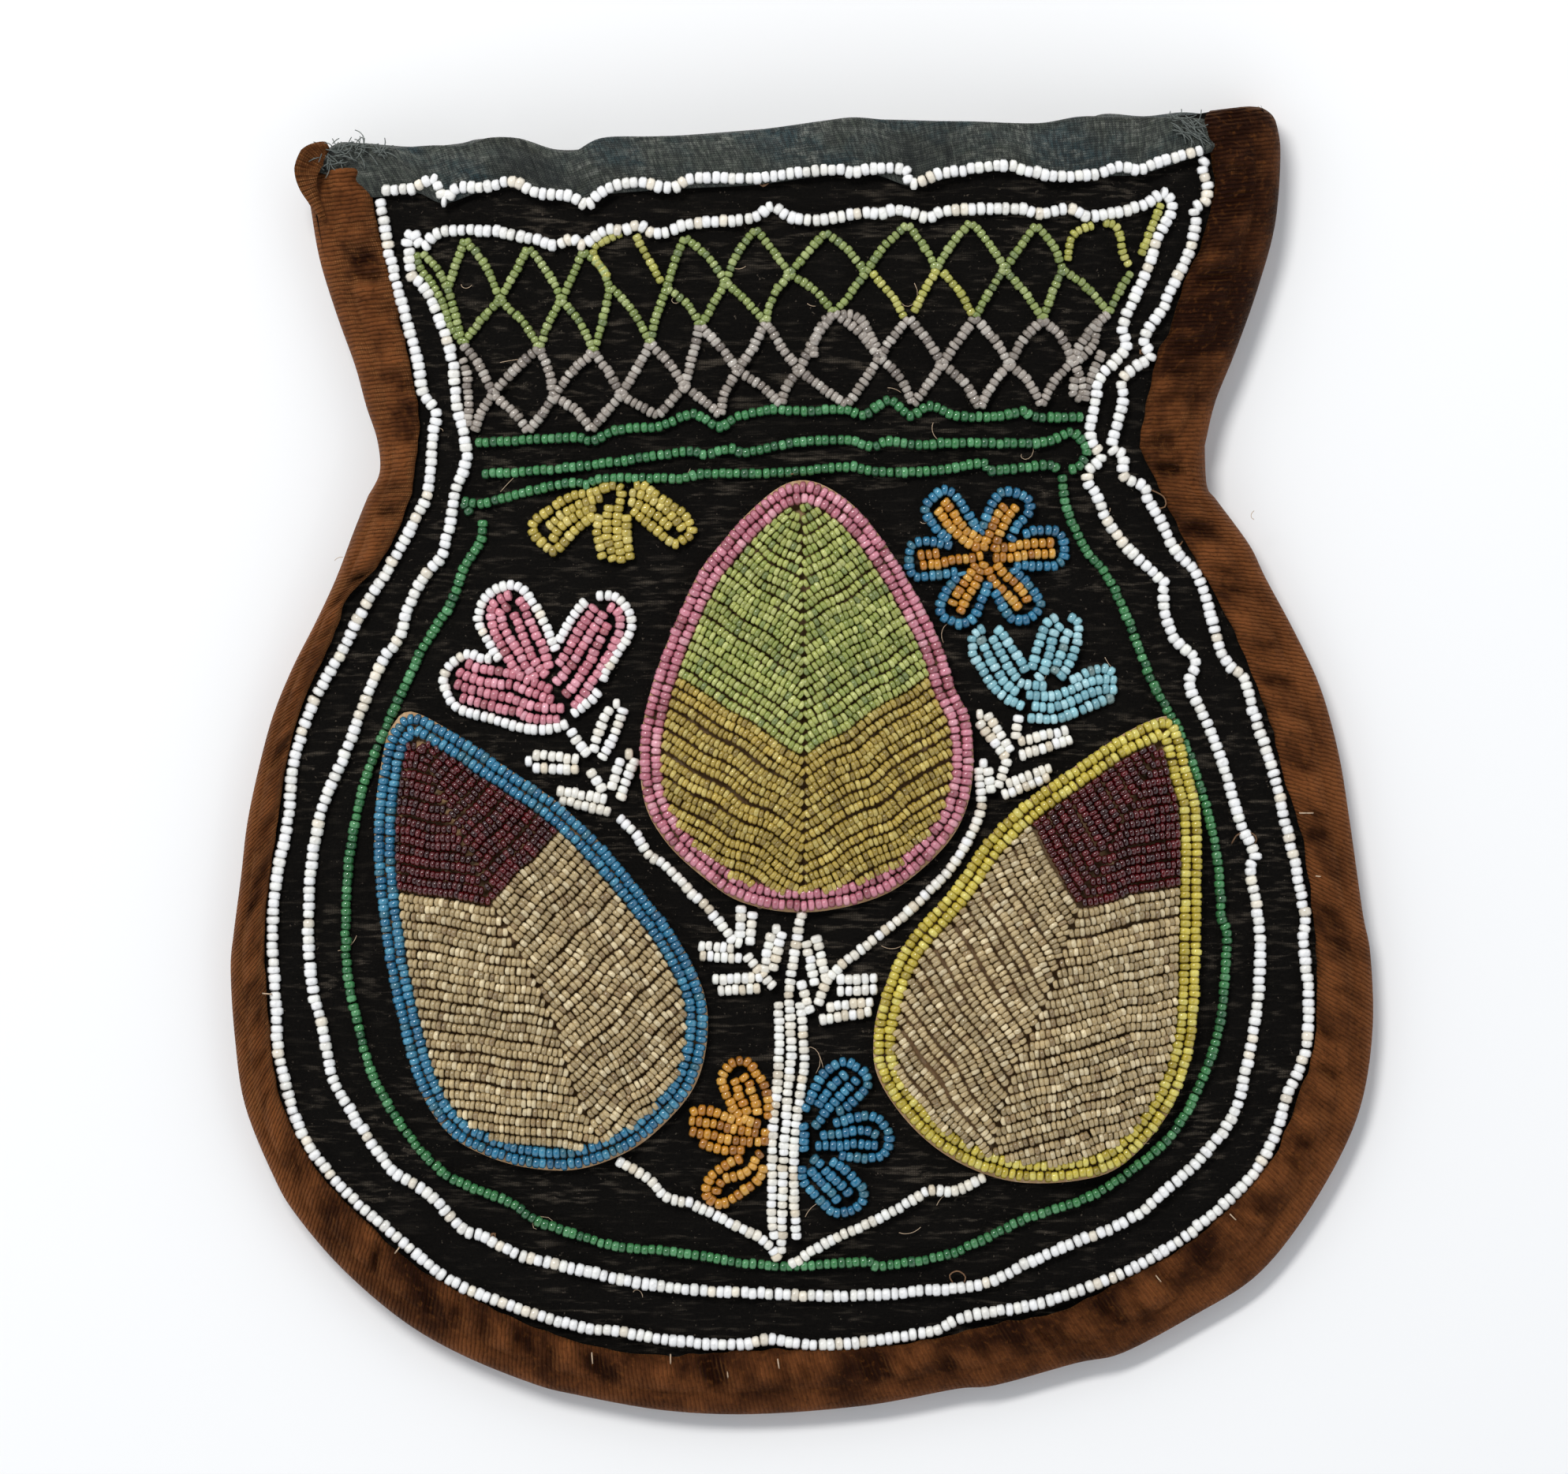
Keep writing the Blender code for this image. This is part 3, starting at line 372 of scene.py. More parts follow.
def weave(tree, threads, place=None):
    node = tree.add("ShaderNodeGroup", node_tree=WEAVE)
    tree.links.new(place or tree.place, node.inputs["Vector"])
    node.inputs["Threads"].default_value = threads
    return node.outputs["Height"]


def black_velvet():
    """Black silk velvet: deep pile, crosswise worn streaks where the brown ground shows, dust and lint."""
    tree = Tree("black_velvet_cloth")
    threads = weave(tree, WEAVE_SCALE)
    streak = tree.noise(1000, 3, 0.6, stretch=(0.2, 1.2, 1))
    patch = tree.noise(70, 4, 0.7, stretch=(0.6, 1.6, 1))
    worn = tree.math("MULTIPLY", tree.limits(streak, 0.5, 0.7), tree.limits(patch, 0.42, 0.64, 0.12, 1.0))
    worn = tree.math("MULTIPLY", worn, tree.limits(threads, 0.1, 0.7, 0.5, 1.0))
    lint = tree.limits(tree.noise(1500, 2, 0.8), 0.66, 0.74)
    pile = tree.noise(2600, 2)
    colour = tree.blend(pile, (0.002, 0.002, 0.002, 1), (0.007, 0.006, 0.005, 1))
    colour = tree.blend(worn, colour, (0.075, 0.062, 0.048, 1))
    colour = tree.blend(tree.math("MULTIPLY", lint, 0.35), colour, (0.16, 0.13, 0.1, 1))
    height = tree.math("ADD", pile, tree.math("MULTIPLY", streak, 2.0))
    return tree.finish(Base_Color=colour, Roughness=0.95, Specular_IOR_Level=0.05, Sheen_Weight=0.06,
                       Sheen_Roughness=0.4, Sheen_Tint=(0.5, 0.42, 0.36, 1),
                       Normal=tree.bump(height, 0.0002, 0.7))


def brown_velvet():
    """Chestnut velvet ribbon: glossy pile, rubbed to its tan ground on the folds, fine cross creases, and
    painted shading that follows the ribbon's relief.
    """
    tree = Tree("brown_velvet_ribbon")
    wear_and_shade = tree.attribute("wear_and_shade").outputs["Fac"]
    place = tree.attribute(CLOTH_PLACE).outputs["Vector"]
    threads = weave(tree, WEAVE_SCALE, place)
    # Painted shading of the ribbon: lighter on ripple crests and its outer roll, darker in dents and
    # towards the inner edge.
    painted_shading = tree.attribute("painted_shading").outputs["Fac"]
    ribs = tree.add("ShaderNodeTexWave", {"Vector": place, "Scale": 480, "Distortion": 3.0, "Detail": 3.0},
                    bands_direction="X").outputs["Fac"]
    strands = tree.noise(1000, 3, 0.6, place)
    grain = tree.noise(1300, 4, 0.75, place)
    patch = tree.noise(190, 5, 0.7, place)
    cloud = tree.noise(120, 3, 0.55, place)
    shift = tree.math("MULTIPLY", tree.math("SUBTRACT", patch, 0.5), 2.4)
    worn = tree.limits(tree.math("ADD", wear_and_shade, shift), 0.35, 1.2)
    rubbed = tree.math("MULTIPLY", worn, tree.limits(strands, 0.36, 0.64, 0.25, 1.0))
    rubbed = tree.math("MULTIPLY", rubbed, tree.limits(grain, 0.3, 0.6, 0.6, 1.0))
    # How dark the pile is: the painted shading, with random cloudy tone added.
    shade = tree.math("ADD", painted_shading, tree.limits(cloud, 0.3, 0.7, -0.16, 0.2))
    shade = tree.math("ADD", shade, tree.limits(patch, 0.3, 0.7, -0.1, 0.14))
    dark = tree.blend(tree.limits(shade, 0.0, 1.0), (0.014, 0.0034, 0.0012, 1), (0.25, 0.082, 0.024, 1))
    dark = tree.blend(tree.limits(ribs, 0.2, 0.6, 0.22, 0.0), dark, (0.03, 0.0065, 0.0016, 1))
    dark = tree.blend(tree.limits(strands, 0.52, 0.74, 0, 0.3), dark, (0.26, 0.09, 0.02, 1))
    dark = tree.blend(tree.limits(grain, 0.32, 0.5, 0.5, 0.0), dark, (0.012, 0.0035, 0.0014, 1))
    ground = tree.blend(tree.limits(threads, 0.05, 0.6), (0.1, 0.034, 0.01, 1), (0.3, 0.135, 0.05, 1))
    colour = tree.blend(rubbed, dark, ground)
    height = tree.math("ADD", tree.math("MULTIPLY", grain, 1.2), tree.math("MULTIPLY", ribs, 1.4))
    return tree.finish(Base_Color=colour, Roughness=tree.limits(rubbed, 0, 1, 0.5, 0.85),
                       Specular_IOR_Level=0.05, Sheen_Weight=0.1, Sheen_Roughness=0.4,
                       Sheen_Tint=(1.0, 0.45, 0.15, 1), Normal=tree.bump(height, 0.0004, 0.8))


def blue_cloth():
    """Faded blue-grey silk: fine weave, teal and olive patches, brown rubbed edges, painted shade in the
    crease valleys.
    """
    tree = Tree("blue_grey_silk")
    wear_and_shade = tree.attribute("wear_and_shade").outputs["Fac"]
    place = tree.attribute(CLOTH_PLACE).outputs["Vector"]
    threads = weave(tree, WEAVE_SCALE, place)
    slubs = tree.noise(520, 4, 0.75, place, stretch=(0.8, 2.4, 1))
    warps = tree.noise(900, 3, 0.7, place, stretch=(2.2, 0.5, 1))
    teal = tree.limits(tree.noise(75, 3, 0.6, place), 0.45, 0.62)
    olive = tree.limits(tree.noise(60, 4, 0.7, place, stretch=(0.6, 1.6, 1)), 0.48, 0.66)
    bloom = tree.limits(tree.noise(170, 5, 0.75, place), 0.4, 0.68)
    colour = tree.blend(teal, (0.07, 0.083, 0.066, 1), (0.026, 0.056, 0.064, 1))
    colour = tree.blend(tree.math("MULTIPLY", olive, 0.75), colour, (0.052, 0.052, 0.034, 1))
    light = tree.math("MULTIPLY", tree.limits(slubs, 0.4, 0.68), tree.limits(bloom, 0, 1, 0.35, 0.95))
    colour = tree.blend(light, colour, (0.29, 0.3, 0.26, 1))
    colour = tree.blend(tree.limits(warps, 0.42, 0.6, 0.7, 0.0), colour, (0.009, 0.011, 0.011, 1))
    colour = tree.blend(tree.limits(threads, 0.02, 0.4, 0.45, 0.0), colour, (0.008, 0.011, 0.012, 1))
    # Painted shade: darker where the attribute falls below zero, in the crease valleys and towards the
    # lower edge of the front mouth silk.
    colour = tree.blend(tree.limits(wear_and_shade, -1.0, 0.0, 0.8, 0.0), colour, (0.008, 0.011, 0.011, 1))
    brown = tree.math("MULTIPLY", tree.limits(wear_and_shade, 0.2, 1.0), tree.limits(bloom, 0.2, 0.8, 0.25, 1.0))
    colour = tree.blend(brown, colour, (0.12, 0.085, 0.05, 1))
    height = tree.math("ADD", threads, tree.math("ADD", slubs, warps))
    return tree.finish(Base_Color=colour, Roughness=0.75, Specular_IOR_Level=0.2, Sheen_Weight=0.1,
                       Normal=tree.bump(height, 0.00028, 0.8))


def undyed_cloth():
    """Coarse undyed cotton between the velvet and the lining."""
    tree = Tree("undyed_cotton")
    threads = weave(tree, WEAVE_SCALE * 0.5)
    patch = tree.noise(60, 3)
    colour = tree.blend(patch, (0.42, 0.33, 0.21, 1), (0.56, 0.46, 0.32, 1))
    colour = tree.blend(tree.limits(threads, 0.1, 0.5, 0.5, 0.0), colour, (0.2, 0.14, 0.08, 1))
    return tree.finish(Base_Color=colour, Roughness=0.95, Normal=tree.bump(threads, 0.0002, 0.7))


def leaf_card():
    """Tan card under the raised leaves, soft at its cut edge."""
    tree = Tree("tan_card")
    fibre = tree.noise(900, 3)
    patch = tree.noise(140, 3)
    colour = tree.blend(patch, (0.3, 0.16, 0.07, 1), (0.52, 0.33, 0.17, 1))
    colour = tree.blend(tree.limits(fibre, 0.5, 0.7, 0, 0.6), colour, (0.62, 0.46, 0.3, 1))
    return tree.finish(Base_Color=colour, Roughness=0.85, Normal=tree.bump(fibre, 0.0002, 0.6))


def thread_cloth(name, dark, light):
    """Twisted sewing thread."""
    tree = Tree(name)
    twist = tree.noise(2200, 2)
    colour = tree.blend(twist, dark, light)
    return tree.finish(Base_Color=colour, Roughness=0.8, Normal=tree.bump(twist, 0.0001, 0.6))


def bead_glass(name, roughness, clear, coat, end_shade):
    """Drawn glass beads: colour of each bead from its own attribute, painted shade at its ends where the
    thread comes out, and random grime.
    """
    tree = Tree(name)
    own = tree.attribute("bead_colour").outputs["Color"]
    ends = tree.attribute("bead_end").outputs["Fac"]
    grime = tree.limits(tree.noise(900, 2), 0.45, 0.75, 0, 0.35)
    # Painted shade at each bead's ends, where it meets the next bead on the thread.
    colour = tree.blend(tree.math("MULTIPLY", ends, end_shade), own, (0.02, 0.014, 0.01, 1))
    colour = tree.blend(grime, colour, tree.blend(0.55, own, (0.06, 0.04, 0.025, 1)))
    ripple = tree.noise(700, 1)
    return tree.finish(Base_Color=colour, Roughness=roughness, Transmission_Weight=clear, IOR=1.5,
                       Specular_IOR_Level=0.5, Coat_Weight=coat, Coat_IOR=1.5, Coat_Roughness=0.03,
                       Normal=tree.bump(ripple, 0.00008, 0.4))


MATERIALS = {
    "black_velvet": black_velvet(),
    "brown_velvet": brown_velvet(),
    "blue_grey_cloth": blue_cloth(),
    "undyed_cloth": undyed_cloth(),
    "leaf_card": leaf_card(),
    "brown_thread": thread_cloth("brown_thread", (0.07, 0.03, 0.012, 1), (0.28, 0.15, 0.07, 1)),
    "tan_thread": thread_cloth("tan_thread", (0.34, 0.22, 0.13, 1), (0.62, 0.48, 0.34, 1)),
    "frayed_silk": thread_cloth("frayed_silk", (0.03, 0.04, 0.04, 1), (0.2, 0.22, 0.2, 1)),
    "opaque_beads": bead_glass("opaque_beads", 0.2, 0.0, 0.7, 0.5),
    "clear_beads": bead_glass("clear_beads", 0.09, 0.15, 0.5, 0.25),
}


# Mesh helpers: closed sheets and folded strips, with small hand-made unevenness.
def wander(points, size, amount, seed):
    """Smooth unevenness: a few sine waves in random directions, the same on every run."""
    draw = np.random.default_rng(seed)
    out = np.zeros(len(points))
    for _ in range(14):
        turn = draw.uniform(0, 2 * math.pi)
        wave = 2 * math.pi / (size * draw.uniform(0.6, 1.8))
        out += np.sin((points @ np.array([math.cos(turn), math.sin(turn)])) * wave + draw.uniform(0, 6))
    return out * amount / 4


def new_piece(name, points, faces, material, body=None, nodes=(), slot=None, blended=False):
    mesh = bpy.data.meshes.new(name)
    mesh.from_pydata([tuple(p) for p in points], [], faces)
    mesh.materials.append(MATERIALS[material])
    mesh.shade_smooth()
    piece = bpy.data.objects.new(name, mesh)
    bpy.context.scene.collection.objects.link(piece)
    attach(piece, body, nodes, blended)
    return piece


def attach(piece, body, nodes, blended):
    """Say what the piece rides on and what it stands for."""
    if blended:
        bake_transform(piece)
    elif body:
        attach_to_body(piece, body)
    if nodes:
        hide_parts(*nodes)


def keep_cloth_place(piece, place, wear_and_shade, painted_shading=None):
    """Keep each point's flat place in the cloth, its wear with painted crease shade, and the ribbon's
    painted shading, for the materials.
    """
    layer = piece.data.attributes.new(CLOTH_PLACE, "FLOAT_VECTOR", "POINT")
    layer.data.foreach_set("vector", place.astype(np.float32).ravel())
    for label, values in (("wear_and_shade", wear_and_shade), ("painted_shading", painted_shading)):
        if values is not None:
            layer = piece.data.attributes.new(label, "FLOAT", "POINT")
            layer.data.foreach_set("value", values.astype(np.float32).ravel())


def grid_faces(rows, cols, start=0, flip=False):
    faces = []
    for i in range(rows - 1):
        for j in range(cols - 1):
            a = start + i * cols + j
            face = (a, a + 1, a + cols + 1, a + cols)
            faces.append(face[::-1] if flip else face)
    return faces


def closed_sheet(name, top, thick, rows, cols, material, **words):
    """A grid of top points and the same grid one thickness lower, closed round the edge."""
    bottom = top.copy()
    bottom[:, 2] -= thick
    size = rows * cols
    faces = grid_faces(rows, cols) + grid_faces(rows, cols, size, flip=True)
    around = [(0, j) for j in range(cols)] + [(i, cols - 1) for i in range(1, rows)]
    around += [(rows - 1, j) for j in range(cols - 2, -1, -1)] + [(i, 0) for i in range(rows - 2, 0, -1)]
    ids = [i * cols + j for i, j in around]
    for a, b in zip(ids, ids[1:] + ids[:1]):
        faces.append((b, a, a + size, b + size))
    piece = new_piece(name, np.concatenate([top, bottom]), faces, material, **words)
    keep_cloth_place(piece, np.concatenate([top, bottom]) * np.array([1, 1, 0]), np.zeros(2 * size))
    return piece


BASE_STEPS = 50


def purse_grid(rows, cols, inward):
    """A grid over the whole purse, from the bottom edge to the mouth, a little inside the rim."""
    outline = walk(RIM, count=1200)
    outline = outline + directions(outline)[1] * inward
    low = np.argmin(outline[:, 1])
    left = walk(outline[low - BASE_STEPS::-1], count=rows - 1)
    right = walk(outline[low + BASE_STEPS:], count=rows - 1)
    mouth = walk(smooth(MOUTH_PX), count=400) - np.array([0, inward])
    base = outline[low - BASE_STEPS:low + BASE_STEPS + 1]
    u = np.linspace(0, 1, cols)
    points = left[:, None, :] * (1 - u[None, :, None]) + right[:, None, :] * u[None, :, None]
    v = np.linspace(0, 1, rows)
    for edge, row, weight in ((mouth, -1, ease((v - 0.82) / 0.18)), (base, 0, ease(1 - v / 0.12))):
        curve = walk(edge, count=cols - 1)
        curve[0] = points[row, 0]
        curve[-1] = points[row, -1]
        points += weight[:, None, None] * (curve - points[row])[None]
    return points.reshape(-1, 2)


# Front and back: black velvet, cotton interlining and blue silk lining, each one cloth.
# The front cloths bend at the neck, where the lip folds; the back ones lie flat.
# Each cloth: name, material, top at the rim, thickness, how far inside the rim, rows, columns and kind.
CLOTHS = [
    ("velvet_cloth", "black_velvet", 0.0048, 0.0006, 0.0012, 230, 170, "velvet"),
    ("interlining_cloth", "undyed_cloth", 0.0039, 0.0003, 0.0015, 90, 60, "interlining"),
    ("lining_cloth", "blue_grey_cloth", 0.0033, 0.0003, 0.0018, 120, 80, "lining"),
]
BACK_TOPS = {"velvet": 0.0015, "interlining": 0.0021, "lining": 0.0027}
DIMPLE = 0.00022
DIMPLE_SIZE = 0.012
DIMPLE_RIM = 0.01
UNDER_CLOTH_DIMPLE = 0.3


def cloths():
    for name, material, front_top, thick, inward, rows, cols, kind in CLOTHS:
        flat = purse_grid(rows, cols, inward)
        uneven = wander(flat, DIMPLE_SIZE, DIMPLE, seed=3)
        uneven *= np.clip(rim_distance(flat) / DIMPLE_RIM, 0, 1)
        if kind != "velvet":
            uneven *= UNDER_CLOTH_DIMPLE
        front = np.column_stack([flat, front_top + rise(flat) + uneven])
        piece = closed_sheet("front_" + name, front, thick, rows, cols, material, blended=True,
                             nodes=["front_" + kind, "front_" + kind + "_lip"])
        back = np.column_stack([flat, np.full(len(flat), BACK_TOPS[kind])])
        piece = closed_sheet("back_" + name, back, thick, rows, cols, material, body="purse",
                             nodes=["back_" + kind])


cloths()


# Bindings: a chestnut velvet ribbon folded over the edges. One leg shows on the front, one on the back.
# Both meet half-way up the edge; above the neck the front leg tucks under the front alone.
BINDING_THICK = 0.0006
SPLIT_Z = 0.0033
TUCK_WIDTH = 0.0022
ROLL_SHARE = 0.34
PAD = 0.0011
CORNER_FOLDS = (-0.0035, 0.0012, 0.0042, 0.0075)
END_ROUND = 0.0026
SIDE_STEPS = 190
BODY_STEPS = 640
BINDING_TOP_Z = 0.0058
LIP_SPLIT_DROP = 0.0007
ROLL_RINGS = 8
FACE_RINGS = 14
SMALL_DENTS = 110
DENT_WIDTH = 0.0012
DENT_DEPTH = 0.0006
DENT_DEEPNESS = (0.15, 0.8)
CORNER_DENT_WIDTH = 0.0014
RIGHT_DENT_SHARE = 1.5
LEFT_DENT_SHARE = 1.2
LEFT_FOLDS = (-0.001, 0.003)
WIDTH_UNEVEN = 0.00012
WIDTH_UNEVEN_RUN = 0.004
END_TRIM = 1.3
END_DROP = 0.35
# The ripples of the pile, long and short: how long they run and how high they stand.
LONG_RIPPLE = (0.0065, 0.0006)
SHORT_RIPPLE = (0.0026, 0.00018)
RIPPLE_SLANT = 0.0012
# Middle level of the painted shading on the ribbon.
PAINTED_SHADING_BASE = 0.42
BACK_ROUND = 0.0018


def rim_stations():
    """Matching outer and inner points of the binding, with a share that tells lip from body."""
    outer = []
    inner = []
    lip = []
    spans = ((LEFT_RIM_PX, LEFT_INNER_PX, SIDE_STEPS, 1), (BODY_RIM_PX, BODY_INNER_PX, BODY_STEPS, 0),
             (RIGHT_RIM_PX, RIGHT_INNER_PX, SIDE_STEPS, 1))
    for rim, inside, steps, is_lip in spans:
        outer.append(walk(smooth(rim), count=steps)[:-1])
        inner.append(walk(smooth(inside), count=steps)[:-1])
        lip.append(np.full(steps, float(is_lip)))
    lip = np.concatenate(lip)
    reach = 7
    kernel = np.ones(2 * reach + 1) / (2 * reach + 1)
    padded = np.concatenate([np.ones(reach), lip, np.ones(reach)])
    return np.concatenate(outer), np.concatenate(inner), np.convolve(padded, kernel, "valid")


def sweep(name, rings, material, wear_and_shade, painted_shading=None, **words):
    """Join closed sections into a tube with capped ends; place, wear with painted shade and painted shading
    are kept for the material.
    """
    count, size = rings.shape[:2]
    faces = []
    for i in range(count - 1):
        for j in range(size):
            a = i * size + j
            b = i * size + (j + 1) % size
            faces.append((a, b, b + size, a + size))
    faces.append(tuple(range(size))[::-1])
    last = (count - 1) * size
    faces.append(tuple(range(last, last + size)))
    piece = new_piece(name, rings.reshape(-1, 3), faces, material, **words)
    middle = rings.mean(axis=1)
    run = run_length(middle)
    round_it = np.linalg.norm(np.diff(rings, axis=1), axis=2)
    across = np.concatenate([np.zeros((count, 1)), np.cumsum(round_it, axis=1)], axis=1)
    place = np.stack([np.repeat(run[:, None], size, axis=1), across, np.zeros((count, size))], axis=2)
    keep_cloth_place(piece, place.reshape(-1, 3), wear_and_shade, np.full((count, size), 0.5) if painted_shading is None else painted_shading)
    return piece


def pinches(along, spots, width):
    """Sharp dents at given places along a ribbon."""
    return np.maximum(0, 1 - np.abs(along[:, None] - np.asarray(spots)[None]) / width)


def binding_pieces():
    outer, inner, lip = rim_stations()
    count = len(outer)
    along = run_length(outer)
    width = np.linalg.norm(inner - outer, axis=1)
    side = (inner - outer) / width[:, None]
    width = width + wander(np.stack([along, 0 * along], axis=1), WIDTH_UNEVEN_RUN, WIDTH_UNEVEN, seed=8)
    to_end = np.clip(np.minimum(along, along[-1] - along), 0, END_ROUND)
    bite = END_ROUND - np.sqrt(END_ROUND ** 2 - (END_ROUND - to_end) ** 2)
    outer = outer + side * bite[:, None]
    width = width - bite * END_TRIM
    inner = outer + side * width[:, None]
    end_drop = 1 - END_DROP * (bite / END_ROUND) ** 2
    draw = np.random.default_rng(11)
    spots = draw.uniform(0, along[-1], SMALL_DENTS)
    dents = (pinches(along, spots, DENT_WIDTH) * draw.uniform(*DENT_DEEPNESS, SMALL_DENTS)).sum(axis=1)
    right_neck = along[SIDE_STEPS + BODY_STEPS] + np.array(CORNER_FOLDS)
    left_neck = along[SIDE_STEPS] + np.array(LEFT_FOLDS)
    dents += (pinches(along, right_neck, CORNER_DENT_WIDTH) * RIGHT_DENT_SHARE).sum(axis=1)
    dents += (pinches(along, left_neck, CORNER_DENT_WIDTH) * LEFT_DENT_SHARE).sum(axis=1)
    rim_rise = rise(outer)
    edge_rise = rise(inner)
    top_z = BINDING_TOP_Z + rim_rise
    in_z = VELVET_TOP + SEAT + BINDING_THICK + edge_rise
    split = SPLIT_Z + rim_rise * lip - LIP_SPLIT_DROP * lip
    # The painted shading is darker along the bottom and at the top right.
    bottom_top_right_dark = 0.12 - 0.2 * ease((-0.06 - outer[:, 1]) / 0.02)
    bottom_top_right_dark -= 0.5 * ease((outer[:, 0] - 0.03) / 0.02) * ease((outer[:, 1] - 0.045) / 0.02)
    shares = []
    heights = []
    painted_shadings = []
    # On the roll, a painted highlight is lightest at the outer wall and fades towards the crest.
    for k in range(ROLL_RINGS + 1):
        turn = k / ROLL_RINGS * math.pi / 2
        painted_shadings.append(PAINTED_SHADING_BASE + bottom_top_right_dark + 0.12 * math.cos(turn))
        shares.append(np.full(count, ROLL_SHARE * (1 - math.cos(turn))))
        heights.append(split + (top_z - split) * math.sin(turn))
    for k in range(1, FACE_RINGS + 1):
        t = k / FACE_RINGS
        mask = math.sin(math.pi * t) ** 0.6
        lines = np.stack([along + RIPPLE_SLANT * t, np.full(count, 0.002 * t)], axis=1)
        ripple = wander(lines, *LONG_RIPPLE, seed=5) + wander(lines, *SHORT_RIPPLE, seed=6)
        shares.append(np.full(count, ROLL_SHARE + (1 - ROLL_SHARE) * t))
        drop = top_z + (in_z - top_z) * ease(t) + PAD * mask
        dip = dents * DENT_DEPTH * math.sin(math.pi * min(t * 1.15, 1))
        heights.append(drop + ripple * mask - dip)
        # Painted shade on the face: lighter on ripple crests, darker in the dents and towards the inner
        # edge.
        painted_shadings.append(PAINTED_SHADING_BASE + bottom_top_right_dark + (ripple * mask - dip) * 360 - 0.1 * t)
    heights = [split + (z - split) * end_drop for z in heights]
    # The underside rings take a darker painted shading.
    painted_shadings += [np.full(count, 0.3)] * 7
    spread = [s * width for s in shares]
    low_in = VELVET_TOP + SEAT * 0.5 + edge_rise
    spread += [width, width * 0.5, np.full(count, 0.0015), np.full(count, 0.001)]
    heights += [low_in, np.maximum(VELVET_TOP + SEAT + rise(outer + side * width[:, None] * 0.5), 0),
                VELVET_TOP + SEAT + rim_rise, np.minimum(split + 0.0012, VELVET_TOP)]
    tuck = BINDING_THICK + (TUCK_WIDTH - BINDING_THICK) * lip
    spread += [tuck, tuck, np.full(count, BINDING_THICK * 0.7)]
    heights += [split + 0.0003 * lip, split - 0.0003 * lip, split - 0.0004 * lip]
    rings = []
    for s, z in zip(spread, heights):
        flat = outer + side * np.asarray(s)[:, None]
        rings.append(np.column_stack([flat, z]))
    rings = np.stack(rings, axis=1)
    left_share = ease((0.01 - outer[:, 0]) / 0.07) * ease((outer[:, 1] + 0.075) / 0.03)
    wear_and_shade = np.stack([0.1 + dents * 0.2 + 0.34 * left_share + 0.22 * math.exp(-((k - 8) / 3) ** 2)
                     + 0.3 * math.exp(-((k - 21) / 2.5) ** 2) * (0.4 + left_share)
                     for k in range(rings.shape[1])], axis=1)
    piece = sweep("front_binding_ribbon", rings, "brown_velvet", wear_and_shade, np.stack(painted_shadings, axis=1), blended=True,
                  nodes=["lip_binding_left", "lip_binding_right"])
    back = []
    tops = np.full(count, SPLIT_Z)
    for k in range(ROLL_RINGS + 1):
        turn = k / ROLL_RINGS * math.pi / 2
        back.append((np.full(count, BACK_ROUND * (1 - math.cos(turn))), tops * (1 - math.sin(turn))))
    back.append((width, np.zeros(count)))
    back.append((width, np.full(count, BINDING_THICK)))
    back.append((np.full(count, BACK_ROUND), np.full(count, BINDING_THICK)))
    back.append((np.full(count, BINDING_THICK), tops - 0.0012))
    back.append((np.full(count, BINDING_THICK), tops))
    rings = [np.column_stack([outer + side * s[:, None], z]) for s, z in back][::-1]
    rings = np.stack(rings, axis=1)
    piece = sweep("back_binding_ribbon", rings, "brown_velvet", np.full(rings.shape[:2], 0.2), body="purse",
                  nodes=["body_binding", "back_lip_binding_left", "back_lip_binding_right"])


binding_pieces()


# Mouth bindings: a strip of faded blue silk folded over the top edge of the front, and one over the back.
# The silk is wrinkled along its fold and frayed at both corners.
FRONT_MOUTH_TOP_PX = [
    (386, 213), (404, 197), (426, 184), (456, 181), (500, 186), (549, 184), (589, 184), (620, 175),
    (658, 176), (690, 187), (725, 194), (763, 176), (829, 174), (913, 171), (982, 163), (1046, 154),
    (1084, 150), (1138, 154), (1228, 155), (1314, 157), (1370, 148), (1432, 148), (1500, 148),
    (1546, 152)]
FRONT_MOUTH_LOW_PX = [
    (424, 224), (446, 240), (474, 250), (526, 244), (563, 258), (610, 244), (660, 238), (727, 259),
    (770, 248), (860, 241), (957, 236), (1049, 224), (1105, 222), (1156, 238), (1200, 228), (1273, 218),
    (1337, 230), (1400, 224), (1447, 221), (1509, 201), (1545, 190)]
BACK_MOUTH_TOP_PX = [
    (398, 200), (424, 179), (454, 178), (523, 183), (579, 179), (607, 173), (658, 173), (702, 186),
    (742, 185), (763, 173), (868, 168), (1016, 156), (1084, 148), (1228, 151), (1355, 153), (1401, 141),
    (1452, 144), (1500, 139), (1534, 142)]
MOUTH_STEPS = 420
SKIN = 0.0005
CREASES = 46
SILK_RINGS = 12
TURN_RINGS = 6
CREASE_DEPTH = 0.00042
SWELL_HEIGHT = 0.00045
SWELL_RUN = 0.018
SILK_PUFF = 0.0009
LINING_UNDER_Z = 0.0030
BACK_SILK_REACH = 0.008
# The back silk's section, from the inside of its fold to the outside: share of its reach, and height.
BACK_SILK_SECTION = [
    (0.0, 0.0006), (0.8, 0.0006), (0.88, 0.0018), (0.8, 0.0031), (0.0, 0.0031), (0.0, 0.0036),
    (0.85, 0.0036), (0.95, 0.0032), (1.0, 0.0018), (0.93, 0.0005), (0.8, 0.0), (0.0, 0.0)]


